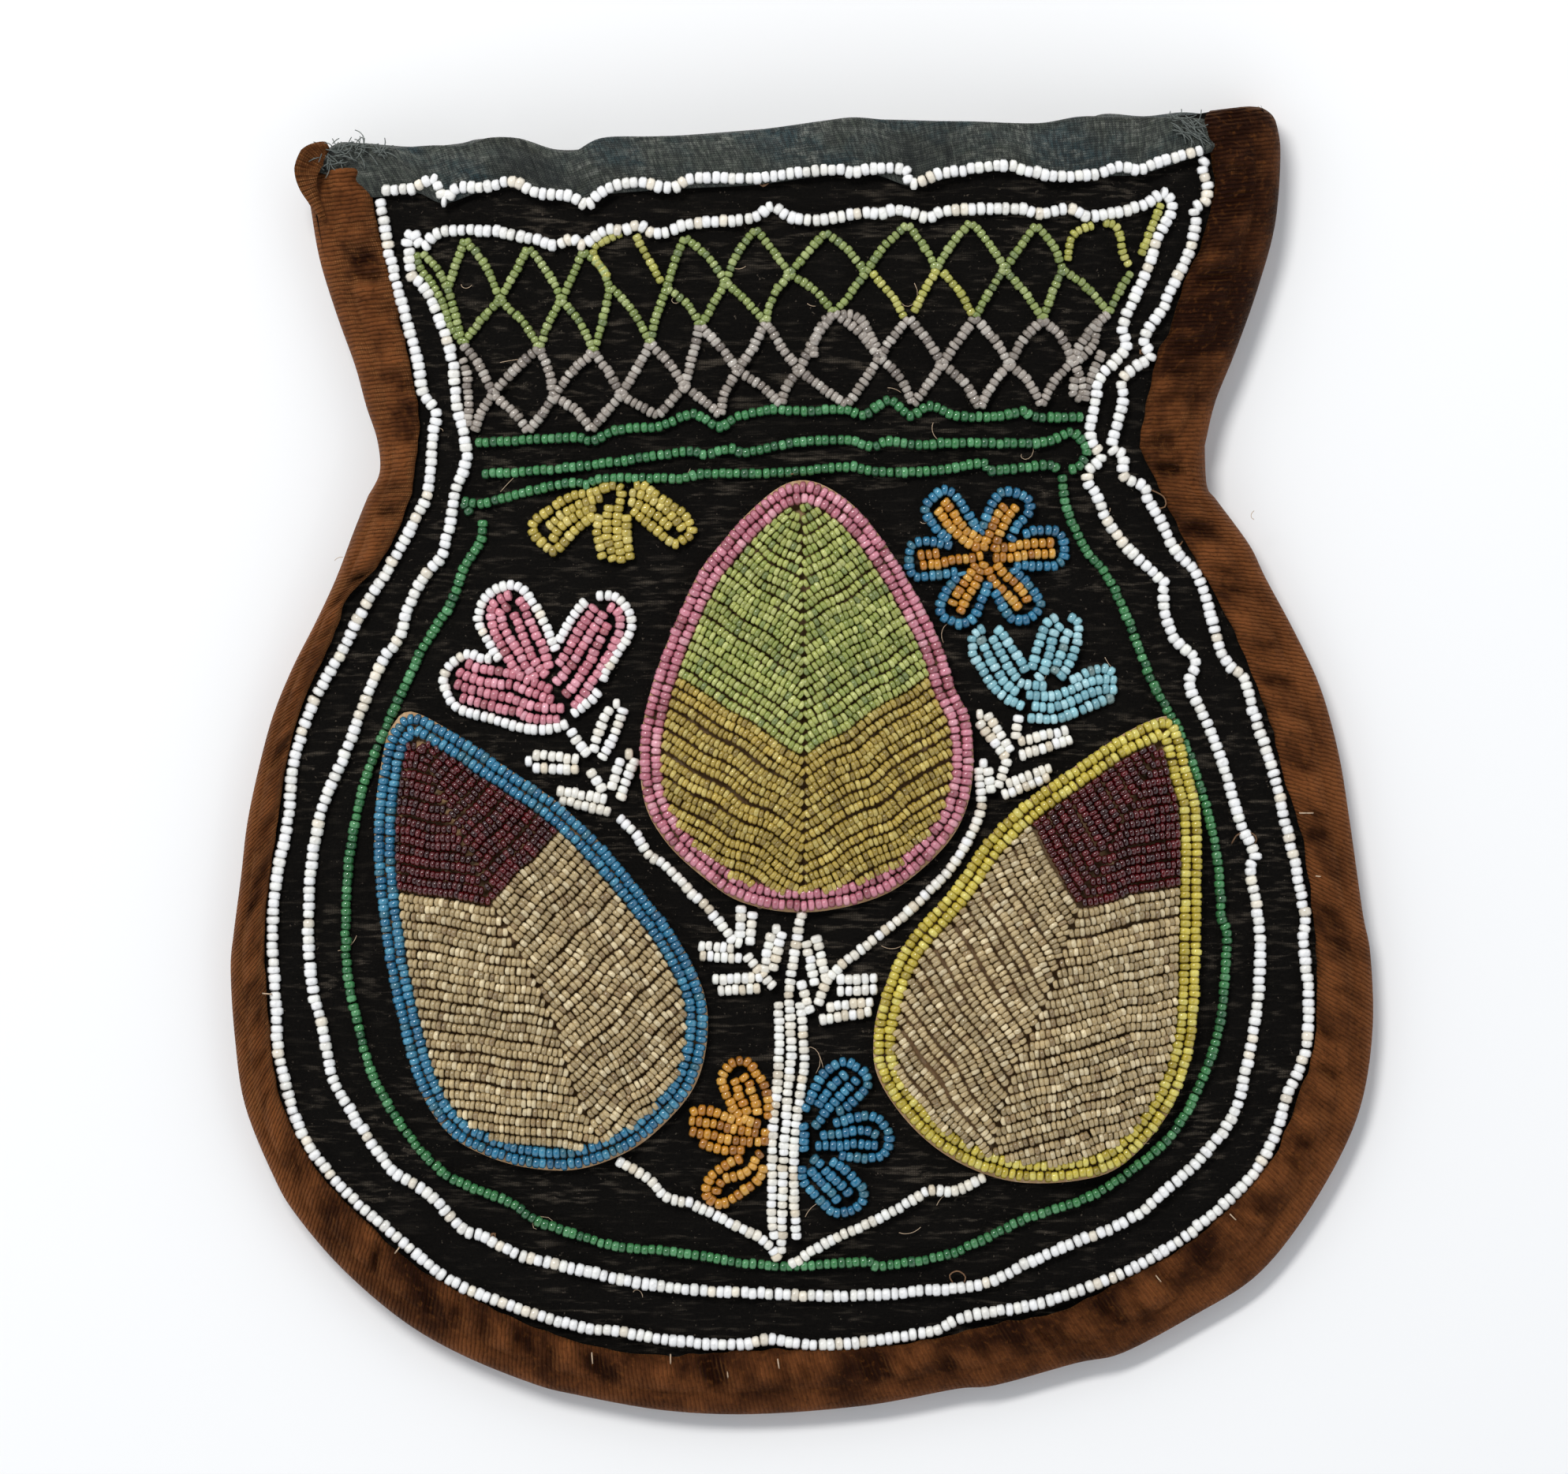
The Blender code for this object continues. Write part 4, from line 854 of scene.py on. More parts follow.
def mouth_pieces():
    top = walk(smooth(FRONT_MOUTH_TOP_PX), count=MOUTH_STEPS)
    low = walk(smooth(FRONT_MOUTH_LOW_PX), count=MOUTH_STEPS)
    count = len(top)
    along = np.linspace(0, 1, count)
    draw = np.random.default_rng(171)
    folds = np.zeros(count)
    for crease in draw.uniform(0, 1, CREASES):
        narrow = draw.uniform(0.002, 0.006)
        folds += np.exp(-((along - crease) / narrow) ** 2) * draw.uniform(-1, 1)
    side = np.stack([along * 0.12, np.zeros(count)], axis=1)
    swell = wander(side, SWELL_RUN, 1.0, seed=9)
    front_z = VELVET_TOP + SEAT
    back_z = LINING_UNDER_Z - SEAT

    def place(share, z, extra=0.0):
        flat = low + (top - low) * share
        return np.column_stack([flat, z + rise(flat) + extra])

    outside = []
    deep = []
    for k in range(SILK_RINGS + 1):
        t = k / SILK_RINGS
        puff = SILK_PUFF * math.sin(math.pi * min(t + 0.1, 1)) ** 0.7
        wave = (folds * CREASE_DEPTH + swell * SWELL_HEIGHT) * math.sin(math.pi * min(t * 0.9 + 0.05, 1))
        # Painted shade for the silk: darker in the crease valleys and towards its lower edge.
        deep.append(np.clip(folds * 0.5 + swell * 0.8, -1, 0) * math.sin(math.pi * t) - 0.25 * (1 - t))
        ridge = 0.00016 * math.sin(9.0 * t) * np.sin(along * 60 + 3 * swell)
        outside.append(place(t * 0.96, front_z + SKIN + puff, wave + ridge))
    for k in range(1, TURN_RINGS + 1):
        turn = k / TURN_RINGS * math.pi
        middle = (front_z + SKIN + back_z - SKIN) / 2
        half = (front_z + SKIN - back_z + SKIN) / 2
        outside.append(place(0.96 + 0.04 * math.sin(turn) ** 0.6, middle + half * math.cos(turn)))
    outside.append(place(0.45, back_z - SKIN))
    inside = [place(0.45, back_z), place(0.93, back_z), place(0.95, (front_z + back_z) / 2),
              place(0.93, front_z), place(0.0, front_z)]
    rings = np.stack(outside + inside, axis=1)
    painted_valley_shade = np.zeros(rings.shape[:2])
    painted_valley_shade[:, :SILK_RINGS + 1] = np.stack(deep, axis=1)
    piece = sweep("front_mouth_silk", rings, "blue_grey_cloth", painted_valley_shade, body="front_lip",
                  nodes=["front_mouth_binding"])
    top = walk(smooth(BACK_MOUTH_TOP_PX), count=MOUTH_STEPS)
    low = top - np.array([0, BACK_SILK_REACH])
    rings = []
    for share, z in BACK_SILK_SECTION:
        flat = low + (top - low) * share
        lift = np.abs(folds) * 0.0001 * (z > 0.003)
        rings.append(np.column_stack([flat, z + lift]))
    rings = np.stack(rings, axis=1)
    piece = sweep("back_mouth_silk", rings, "blue_grey_cloth", np.zeros(rings.shape[:2]), body="purse",
                  nodes=["back_mouth_binding"])


mouth_pieces()


# Beads: short drawn-glass beads threaded in rows and sewn down on the cloth.
# One bead mesh is instanced on points by a Geometry Nodes tree, with small turns and size changes.
BEAD_SEGMENTS = 8
BEAD_PROFILE = ((-0.38, 0.16, 1.0), (-0.5, 0.33, 0.45), (-0.27, 0.5, 0.0),
                (0.27, 0.5, 0.0), (0.5, 0.33, 0.45), (0.38, 0.16, 1.0))


def single_bead():
    """A rounded barrel about X, one across and one long, open along its hole."""
    points = []
    ends = []
    for x, radius, end in BEAD_PROFILE:
        for k in range(BEAD_SEGMENTS):
            turn = 2 * math.pi * k / BEAD_SEGMENTS
            points.append((x, radius * math.cos(turn), radius * math.sin(turn)))
            ends.append(end)
    rings = len(BEAD_PROFILE)
    faces = []
    for r in range(rings):
        this = r * BEAD_SEGMENTS
        after = (r + 1) % rings * BEAD_SEGMENTS
        for k in range(BEAD_SEGMENTS):
            j = (k + 1) % BEAD_SEGMENTS
            faces.append((this + k, after + k, after + j, this + j))
    mesh = bpy.data.meshes.new("single_bead")
    mesh.from_pydata(points, [], [f[::-1] for f in faces])
    mesh.shade_smooth()
    # bead_end marks the ends of the bead, where the glass material paints shade.
    layer = mesh.attributes.new("bead_end", "FLOAT", "POINT")
    layer.data.foreach_set("value", np.array(ends, np.float32))
    bead = bpy.data.objects.new("single_bead", mesh)
    bpy.context.scene.collection.objects.link(bead)
    return bead


def bead_tree():
    """Instance the bead on each point: its turn, size and colour are attributes of the point."""
    tree = bpy.data.node_groups.new("threaded_beads", "GeometryNodeTree")
    face = tree.interface
    face.new_socket("Geometry", in_out="INPUT", socket_type="NodeSocketGeometry")
    for name, kind in (("Bead", "NodeSocketObject"), ("Glass", "NodeSocketMaterial"),
                       ("Turn Jitter", "NodeSocketFloat"), ("Size Jitter", "NodeSocketFloat"),
                       ("Seed", "NodeSocketInt")):
        face.new_socket(name, in_out="INPUT", socket_type=kind)
    face.new_socket("Geometry", in_out="OUTPUT", socket_type="NodeSocketGeometry")
    nodes = tree.nodes
    links = tree.links

    def add(kind, inputs=(), **settings):
        return add_node(tree, kind, inputs, **settings)

    inside = nodes.new("NodeGroupInput").outputs
    outside = nodes.new("NodeGroupOutput").inputs
    bead = add("GeometryNodeObjectInfo", {"Object": inside["Bead"]}, transform_space="ORIGINAL")
    turn = add("GeometryNodeInputNamedAttribute", {"Name": "bead_turn"}, data_type="FLOAT_VECTOR")
    size = add("GeometryNodeInputNamedAttribute", {"Name": "bead_size"}, data_type="FLOAT_VECTOR")
    limits = {}
    for name, jitter, middle in (("turn", "Turn Jitter", 0.0), ("size", "Size Jitter", 1.0)):
        low = add("ShaderNodeMath", {0: middle, 1: inside[jitter]}, operation="SUBTRACT")
        high = add("ShaderNodeMath", {0: middle, 1: inside[jitter]}, operation="ADD")
        limits[name] = add("FunctionNodeRandomValue", {"Min": low.outputs[0], "Max": high.outputs[0],
                                                       "Seed": inside["Seed"]}, data_type="FLOAT_VECTOR")
    wobbly = add("ShaderNodeVectorMath", operation="ADD",
                 inputs={0: turn.outputs["Attribute"], 1: limits["turn"].outputs["Value"]})
    uneven = add("ShaderNodeVectorMath", operation="MULTIPLY",
                 inputs={0: size.outputs["Attribute"], 1: limits["size"].outputs["Value"]})
    rotation = add("FunctionNodeEulerToRotation", {"Euler": wobbly.outputs["Vector"]})
    copies = add("GeometryNodeInstanceOnPoints", {
        "Points": inside["Geometry"], "Instance": bead.outputs["Geometry"],
        "Rotation": rotation.outputs["Rotation"], "Scale": uneven.outputs["Vector"]})
    real = add("GeometryNodeRealizeInstances", {"Geometry": copies.outputs["Instances"]})
    done = add("GeometryNodeSetMaterial",
               {"Geometry": real.outputs["Geometry"], "Material": inside["Glass"]})
    links.new(done.outputs["Geometry"], outside["Geometry"])
    return tree


SINGLE_BEAD = single_bead()
BEAD_TREE = bead_tree()


def linear(red, green, blue):
    """A colour read from 0 to 255, as the shader's linear values."""
    share = np.array([red, green, blue]) / 255
    return np.where(share <= 0.04045, share / 12.92, ((share + 0.055) / 1.055) ** 2.4)


PALETTES = {
    "white": [(254, 253, 249), (250, 248, 241), (254, 254, 252), (240, 231, 214)],
    "pale_green": [(150, 164, 96), (132, 148, 80), (168, 180, 116), (118, 134, 82)],
    "yellow_green": [(188, 186, 92), (170, 168, 80), (200, 196, 110)],
    "crystal": [(176, 166, 156), (150, 140, 130), (196, 188, 178), (132, 122, 114)],
    "green": [(66, 134, 80), (52, 114, 68), (86, 152, 100), (46, 98, 62)],
    "pink": [(210, 134, 148), (186, 108, 122), (222, 156, 170), (160, 92, 100)],
    "dusty_pink": [(162, 96, 106), (146, 80, 92), (182, 118, 126), (128, 72, 84)],
    "leaf_green": [(171, 177, 94), (148, 159, 78), (192, 197, 119), (128, 141, 78)],
    "gold": [(190, 164, 76), (172, 146, 62), (208, 186, 102), (150, 126, 56)],
    "blue": [(42, 114, 148), (34, 98, 132), (64, 134, 164), (50, 106, 126)],
    "red": [(72, 0, 5), (51, 0, 3), (87, 3, 10), (94, 18, 24)],
    "leaf_crystal": [(195, 172, 127), (174, 151, 108), (227, 208, 167), (155, 130, 91)],
    "yellow": [(202, 184, 72), (184, 164, 54), (216, 202, 100), (164, 144, 48)],
    "amber": [(196, 136, 38), (174, 112, 26), (210, 156, 64), (150, 94, 24)],
    "turquoise": [(142, 194, 204), (118, 170, 182), (166, 208, 216), (112, 138, 138)],
    "dusty_pink_rim": [(204, 130, 146), (184, 108, 124), (162, 92, 104), (220, 156, 168)],
    "petal_yellow": [(192, 172, 80), (172, 152, 62), (206, 188, 106), (152, 132, 56)],
    "stem_white": [(250, 247, 238), (238, 232, 218), (252, 251, 246), (222, 210, 188)],
}
WHITE_PITCH_PX = 10.6
WHITE_WIDTH_PX = 15.3
FILL_PITCH_PX = 6.6
FILL_WIDTH_PX = 11.8
ROW_PITCH_PX = 11.7
STEM_PITCH_PX = 9.6
STEM_WIDTH_PX = 14.0
# How high a bead's middle sits, how far it strays, and the brightest value that a colour may have.
BEAD_SIT = 0.46
BEAD_STRAY = 0.035
BRIGHTEST = 0.93
TURN_JITTER = 0.1
SIZE_JITTER = 0.09


def velvet_at(flat):
    return VELVET_TOP + rise(flat)


def lay_row(line, palette, draw, pitch_px=WHITE_PITCH_PX, width_px=WHITE_WIDTH_PX,
            surface=velvet_at, lift=0.0):
    """Thread beads along a flat line in metres, on a surface: centres, turns, sizes and colours."""
    length = np.linalg.norm(np.diff(line, axis=0), axis=1).sum()
    count = max(int(round(length / (pitch_px * METRES_PER_PX))), 1)
    steps = walk(line, count=2 * count)
    width = width_px * METRES_PER_PX
    z = surface(steps) + lift + width * BEAD_SIT
    path = np.column_stack([steps, z])
    centres = path[1::2].copy()
    run = path[2::2] - path[:-2:2]
    size = np.linalg.norm(run, axis=1)
    pitch_turn = -np.arcsin(run[:, 2] / size)
    heading = np.arctan2(run[:, 1], run[:, 0])
    turns = np.column_stack([np.zeros(count), pitch_turn, heading])
    centres[:, :2] += draw.normal(0, BEAD_STRAY, (count, 2)) * width
    tints = np.array([linear(*c) for c in PALETTES[palette]])
    shares = np.array([5, 3, 2, 1][:len(tints)], float)
    colours = tints[draw.choice(len(tints), count, p=shares / shares.sum())]
    colours = colours * draw.uniform(0.86, 1.1, (count, 1))
    across = np.full(count, width)
    sizes = np.column_stack([size * draw.uniform(0.96, 1.06, count), across, across])
    return centres, turns, sizes, np.clip(colours, 0, BRIGHTEST)


def bead_piece(name, rows, glass, nodes, seed, body="purse", blended=False):
    """Turn rows of threaded beads into one plain mesh."""
    centres, turns, sizes, colours = (np.concatenate([row[k] for row in rows]) for k in range(4))
    count = len(centres)
    mesh = bpy.data.meshes.new(name)
    mesh.from_pydata([tuple(p) for p in centres], [], [])
    for label, kind, values in (("bead_turn", "FLOAT_VECTOR", turns),
                                ("bead_size", "FLOAT_VECTOR", sizes)):
        layer = mesh.attributes.new(label, kind, "POINT")
        layer.data.foreach_set("vector", values.astype(np.float32).ravel())
    layer = mesh.attributes.new("bead_colour", "FLOAT_COLOR", "POINT")
    layer.data.foreach_set("color", np.column_stack([colours, np.ones(count)]).astype(np.float32).ravel())
    seeds = bpy.data.objects.new(name + "_points", mesh)
    bpy.context.scene.collection.objects.link(seeds)
    modifier = seeds.modifiers.new("beads", "NODES")
    modifier.node_group = BEAD_TREE
    values = {"Bead": SINGLE_BEAD, "Glass": MATERIALS[glass], "Seed": seed,
              "Turn Jitter": TURN_JITTER, "Size Jitter": SIZE_JITTER}
    for item in BEAD_TREE.interface.items_tree:
        if item.in_out == "INPUT" and item.name in values:
            modifier[item.identifier] = values[item.name]
    bpy.context.view_layer.update()
    evaluated = seeds.evaluated_get(bpy.context.evaluated_depsgraph_get())
    beads = bpy.data.meshes.new_from_object(evaluated)
    bpy.data.objects.remove(seeds, do_unlink=True)
    for label in ("bead_turn", "bead_size"):
        if label in beads.attributes:
            beads.attributes.remove(beads.attributes[label])
    piece = bpy.data.objects.new(name, beads)
    bpy.context.scene.collection.objects.link(piece)
    attach(piece, None if blended else body, nodes, blended)
    return piece


# Borders: two lines of white beads round the front, the rows of the neck and the green inner line.
# Each is one thread of beads sewn down; the white lines run over the neck fold.
WHITE_OUTER_PX = [
    (481, 253), (487, 281), (496, 335), (514, 401), (529, 457), (537, 499), (552, 522), (549, 550),
    (542, 624), (528, 654), (505, 698), (485, 733), (471, 754), (449, 792), (434, 823), (410, 864),
    (395, 894), (372, 963), (363, 1045), (349, 1116), (344, 1188), (349, 1275), (353, 1339),
    (374, 1420), (395, 1460), (440, 1515), (506, 1573), (570, 1624), (649, 1658), (731, 1683),
    (787, 1690), (843, 1700), (930, 1707), (975, 1700), (1034, 1707), (1101, 1702), (1165, 1692),
    (1188, 1688), (1226, 1671), (1305, 1657), (1387, 1631), (1453, 1601), (1526, 1551), (1588, 1492),
    (1616, 1443), (1636, 1382), (1656, 1333), (1660, 1262), (1653, 1186), (1656, 1168), (1641, 1086),
    (1630, 1040), (1613, 971), (1590, 902), (1579, 861), (1562, 846), (1549, 826), (1537, 784),
    (1517, 726), (1491, 698), (1471, 657), (1456, 634), (1450, 617), (1425, 603), (1424, 578),
    (1410, 568), (1417, 534), (1424, 506), (1425, 478), (1458, 453), (1451, 437), (1453, 421),
    (1471, 396), (1489, 358), (1507, 322), (1517, 281), (1514, 266), (1530, 253), (1530, 233),
    (1524, 212), (1530, 201),
]
WHITE_OUTER_TOP_PX = [
    (485, 242), (509, 240), (526, 238), (552, 228), (563, 256), (578, 240), (612, 239), (651, 231),
    (677, 245), (725, 251), (746, 261), (768, 242), (806, 233), (852, 240), (880, 228), (957, 229),
    (976, 225), (1049, 217), (1084, 220), (1105, 216), (1146, 217), (1156, 235), (1192, 222),
    (1238, 216), (1273, 212), (1337, 225), (1392, 221), (1419, 212), (1447, 216), (1467, 207),
    (1509, 194), (1524, 189),
]
WHITE_INNER_PX = [
    (523, 294), (517, 307), (523, 350), (538, 364), (559, 409), (574, 460), (579, 511), (592, 580),
    (577, 624), (569, 672), (559, 705), (541, 726), (515, 774), (508, 805), (487, 833), (469, 871),
    (438, 953), (410, 1017), (395, 1086), (390, 1186), (396, 1257), (408, 1303), (419, 1362),
    (443, 1407), (473, 1453), (498, 1486), (547, 1517), (585, 1558), (611, 1568), (662, 1593),
    (748, 1614), (794, 1625), (876, 1636), (955, 1640), (1042, 1644), (1116, 1642), (1177, 1637),
    (1249, 1628), (1307, 1601), (1351, 1581), (1432, 1547), (1485, 1504), (1523, 1469), (1564, 1415),
    (1582, 1349), (1596, 1262), (1597, 1173), (1586, 1106), (1592, 1086), (1574, 1045), (1549, 963),
    (1526, 907), (1508, 866), (1517, 838), (1494, 815), (1479, 784), (1475, 751), (1476, 738),
    (1433, 698), (1402, 657), (1392, 629), (1377, 603), (1396, 580), (1383, 555), (1389, 506),
    (1395, 478), (1427, 442), (1423, 415), (1439, 376), (1457, 335), (1467, 302), (1483, 273),
    (1486, 256),
]
WHITE_INNER_TOP_PX = [
    (523, 294), (538, 312), (559, 294), (625, 294), (679, 305), (704, 312), (725, 303), (740, 313),
    (768, 294), (792, 293), (811, 287), (834, 298), (883, 284), (952, 279), (977, 263), (1000, 276),
    (1036, 281), (1097, 271), (1115, 273), (1138, 268), (1177, 277), (1202, 268), (1289, 266),
    (1317, 273), (1355, 265), (1383, 276), (1447, 261), (1475, 244), (1486, 256),
]
GREEN_LINE_PX = [
    (612, 659), (610, 685), (589, 718), (572, 764), (549, 800), (530, 833), (502, 894), (466, 979),
    (447, 1055), (439, 1132), (439, 1224), (452, 1293), (474, 1367), (515, 1436), (567, 1491),
    (644, 1524), (685, 1550), (779, 1580), (850, 1587), (945, 1602), (1011, 1606), (1098, 1600),
    (1114, 1606), (1188, 1595), (1236, 1577), (1297, 1547), (1381, 1518), (1438, 1481), (1488, 1436),
    (1523, 1372), (1546, 1303), (1554, 1226), (1555, 1178), (1549, 1165), (1544, 1091), (1528, 1019),
    (1503, 943), (1482, 902), (1459, 861), (1433, 792), (1402, 728), (1377, 698), (1352, 644),
    (1346, 603),
]
NECK_ROWS_PX = {
    "green_row_upper": [
        (602, 562), (651, 559), (727, 555), (750, 560), (783, 546), (837, 541), (880, 525), (911, 542),
        (939, 528), (982, 520), (1005, 523), (1067, 520), (1095, 527), (1128, 508), (1154, 528),
        (1179, 515), (1212, 528), (1263, 529), (1299, 522), (1312, 529), (1373, 529)],
    "green_row_middle": [
        (611, 601), (663, 598), (727, 593), (791, 585), (873, 573), (891, 578), (926, 570), (944, 575),
        (1008, 562), (1074, 559), (1107, 568), (1123, 560), (1166, 565), (1215, 562), (1319, 562),
        (1355, 547), (1370, 557), (1378, 573), (1368, 591), (1356, 596)],
    "green_line": [
        (597, 652), (587, 636), (607, 639), (645, 630), (676, 622), (725, 613), (748, 615), (763, 607),
        (865, 607), (888, 602), (980, 601), (1033, 596), (1077, 593), (1112, 599), (1179, 598),
        (1247, 588), (1253, 597), (1299, 593), (1332, 589), (1340, 598)],
}


SILK_STEP = 0.0008
GREEN_PITCH_PX = 9.3
GREEN_WIDTH_PX = 13.0


def border_pieces():
    draw = np.random.default_rng(21)
    rows = [lay_row(smooth(WHITE_OUTER_PX), "white", draw),
            lay_row(smooth(WHITE_OUTER_TOP_PX), "white", draw, lift=SILK_STEP)]
    bead_piece("white_outer_beads", rows, "opaque_beads", ["white_outer_line", "white_outer_line_lip"],
               1, blended=True)
    rows = [lay_row(smooth(line), "white", draw) for line in (WHITE_INNER_PX, WHITE_INNER_TOP_PX)]
    bead_piece("white_inner_beads", rows, "opaque_beads", ["white_inner_line", "white_inner_line_lip"],
               2, blended=True)
    for node, line in NECK_ROWS_PX.items():
        lines = [line, GREEN_LINE_PX] if node == "green_line" else [line]
        rows = [lay_row(smooth(p), "green", draw, GREEN_PITCH_PX, GREEN_WIDTH_PX) for p in lines]
        bead_piece(node + "_beads", rows, "clear_beads", [node], 3,
                   blended=node != "green_line")


border_pieces()


# Nets of the lip: looped threads of beads that meet at shared joints, pale green above, crystal below.
NET_TOPS_PX = [(535, 320), (590, 304), (670, 315), (740, 320), (796, 298), (868, 303), (958, 292),
               (1046, 296), (1150, 286), (1230, 283), (1313, 287), (1392, 284), (1472, 258)]
NET_MIDS_PX = [(568, 365), (634, 381), (712, 381), (774, 365), (846, 367), (920, 360), (1001, 349),
               (1097, 347), (1187, 342), (1273, 342), (1347, 342), (1434, 345)]
NET_JOINTS_PX = [(587, 436), (684, 442), (753, 447), (825, 437), (888, 414), (971, 410), (1057, 398),
                 (1152, 405), (1235, 404), (1322, 406), (1406, 397)]
LOW_MIDS_PX = [(625, 500), (702, 504), (788, 501), (868, 491), (936, 471), (1013, 470), (1115, 455),
               (1194, 463), (1279, 463), (1360, 458)]
LOW_JOINTS_PX = [(601, 548), (670, 547), (750, 546), (835, 528), (914, 527), (990, 514), (1074, 514),
                 (1157, 513), (1241, 518), (1320, 514), (1373, 509)]
YELLOW_STRANDS_PX = [
    [(788, 296), (773, 304), (755, 314), (754, 327), (763, 340), (772, 353)],
    [(806, 299), (824, 332), (839, 360)], [(1105, 347), (1131, 378), (1147, 404)],
    [(1187, 342), (1172, 370), (1157, 398)], [(1194, 345), (1217, 373), (1233, 401)],
    [(1354, 332), (1355, 314), (1363, 296), (1386, 286)],
    [(1398, 282), (1411, 285), (1419, 296), (1423, 319), (1432, 337)], [(1472, 258), (1455, 302),
                                                                        (1447, 324)],
]
REPLACED_UPPER = {(3, 4), (4, 4), (10, 11), (11, 11), (11, 12)}
REPLACED_LOWER = {(7, 7), (7, 8), (8, 8)}
SIDE_STRAND_PX = [(527, 320), (533, 340), (548, 361), (562, 386), (570, 411), (587, 436)]
CRYSTAL_STRANDS_PX = [
    [(587, 455), (593, 481), (594, 540)], [(1031, 455), (1033, 432), (1044, 411), (1056, 401)],
    [(1067, 401), (1084, 401), (1097, 416), (1115, 450)], [(1391, 406), (1388, 432), (1381, 443),
                                                           (1365, 458)],
    [(1398, 445), (1393, 455), (1378, 491), (1373, 509)], [(1363, 478), (1360, 499), (1370, 506)],
]
NET_PITCH_PX = 8.2
NET_WIDTH_PX = 11.4
CRYSTAL_PITCH_PX = 7.9
CRYSTAL_WIDTH_PX = 13.2
STRAND_BOW_PX = 5.0


def strand(a, b, bow_px):
    """A thread between two joints, a little slack to one side."""
    a = np.array(a, float)
    b = np.array(b, float)
    side = np.array([a[1] - b[1], b[0] - a[0]]) / np.linalg.norm(b - a)
    return smooth([a, (a + b) / 2 + side * bow_px, b])


def net_pieces():
    draw = np.random.default_rng(33)
    green = []
    crystal = []

    def thread(a, b, palette, pitch=NET_PITCH_PX, width=NET_WIDTH_PX):
        outward = STRAND_BOW_PX if b[0] > a[0] else -STRAND_BOW_PX
        return lay_row(strand(a, b, outward * draw.uniform(-1.3, 0.3)), palette, draw, pitch, width)

    for i, mid in enumerate(NET_MIDS_PX):
        for k in (i, i + 1):
            if (i, k) not in REPLACED_UPPER:
                green.append(thread(NET_TOPS_PX[k], mid, "pale_green"))
    for i, joint in enumerate(NET_JOINTS_PX):
        for k in (i, i + 1):
            if (i, k) not in REPLACED_LOWER:
                green.append(thread(NET_MIDS_PX[k], joint, "pale_green"))
    green.append(lay_row(smooth(SIDE_STRAND_PX), "pale_green", draw, NET_PITCH_PX, NET_WIDTH_PX))
    for line in YELLOW_STRANDS_PX:
        green.append(lay_row(smooth(line), "yellow_green", draw, NET_PITCH_PX, NET_WIDTH_PX))
    for i, mid in enumerate(LOW_MIDS_PX):
        for end in (NET_JOINTS_PX[i], NET_JOINTS_PX[i + 1], LOW_JOINTS_PX[i], LOW_JOINTS_PX[i + 1]):
            crystal.append(thread(end, mid, "crystal", CRYSTAL_PITCH_PX, CRYSTAL_WIDTH_PX))
    for line in CRYSTAL_STRANDS_PX:
        crystal.append(lay_row(smooth(line), "crystal", draw, CRYSTAL_PITCH_PX, CRYSTAL_WIDTH_PX))
    bead_piece("green_net_beads", green, "clear_beads", ["green_net"], 5,
               blended=True)
    bead_piece("crystal_net_beads", crystal, "clear_beads", ["crystal_net"], 6,
               blended=True)


net_pieces()


# Leaves: a tan card, a rim of two bead rows and herringbone rows that meet at the midrib.
# The rows lie close together over a padded crown, and change colour at a V across the leaf.
LEAVES = {
    "centre": {
        "outer": [
            (1014, 619), (985, 630), (948, 662), (919, 695), (893, 728), (868, 779), (844, 838),
            (829, 887), (819, 943), (824, 1012), (852, 1063), (898, 1106), (941, 1134), (1002, 1147),
            (1064, 1142), (1127, 1121), (1181, 1078), (1212, 1035), (1226, 979), (1222, 912),
            (1204, 874), (1189, 826), (1164, 772), (1123, 703), (1084, 654), (1045, 626)],
        "rib": [(1014, 600), (1018, 760), (1020, 957), (1019, 1130), (1018, 1290)],
        "slopes": [(147, 147, 155), (33, 33, 25)],
        "split_px": (1020, 957),
        "rim": "dusty_pink_rim",
        "fills": [("green_fill", "leaf_green"), ("gold_fill", "gold")],
        "slot": ("pink_beads", "leaf_green_beads", "gold_beads"),
    },
    "left": {
        "outer": [
            (525, 912), (581, 940), (655, 989), (704, 1022), (755, 1070), (806, 1129), (854, 1193),
            (885, 1257), (889, 1313), (875, 1369), (839, 1415), (793, 1451), (727, 1474), (655, 1469),
            (594, 1446), (561, 1418), (535, 1372), (517, 1313), (497, 1224), (482, 1106), (482, 1030),
            (492, 958), (502, 930)],
        "rib": [(525, 925), (550, 991), (591, 1070), (622, 1139), (673, 1229), (706, 1303), (727, 1377),
                (752, 1428), (800, 1530)],
        "slopes": [(171, 171, 174), (47, 47, 40)],
        "split_px": (623, 1146),
        "rim": "blue",
        "fills": [("red_fill", "red"), ("crystal_fill", "leaf_crystal")],
        "slot": ("blue_beads", "dark_red_beads", "crystal_beads"),
    },
    "right": {
        "outer": [
            (1477, 917), (1424, 938), (1355, 984), (1296, 1027), (1253, 1070), (1212, 1129),
            (1153, 1198), (1125, 1262), (1115, 1313), (1121, 1362), (1161, 1420), (1217, 1464),
            (1288, 1489), (1370, 1487), (1424, 1466), (1477, 1405), (1505, 1333), (1513, 1262),
            (1516, 1144), (1516, 1035), (1505, 986), (1492, 936)],
        "rib": [(1474, 925), (1442, 1004), (1391, 1096), (1366, 1152), (1327, 1262), (1283, 1359),
                (1260, 1448), (1235, 1560)],
        "slopes": [(120, 120, 130), (12, 12, 18)],
        "split_px": (1366, 1156),
        "rim": "yellow",
        "fills": [("red_fill", "red"), ("crystal_fill", "leaf_crystal")],
        "slot": ("yellow_beads", "dark_red_beads", "crystal_beads"),
    },
}
CARD_SEAT = 0.0003
CARD_THICK = 0.0006
CARD_LIP_PX = 8
FILL_SEAT = 0.0010
FILL_CROWN = 0.0022
CROWN_RUN = 0.017
RIB_DIP = 0.00025
RIB_DIP_REACH = 0.001
INNER_RIM_LIFT = 0.0004
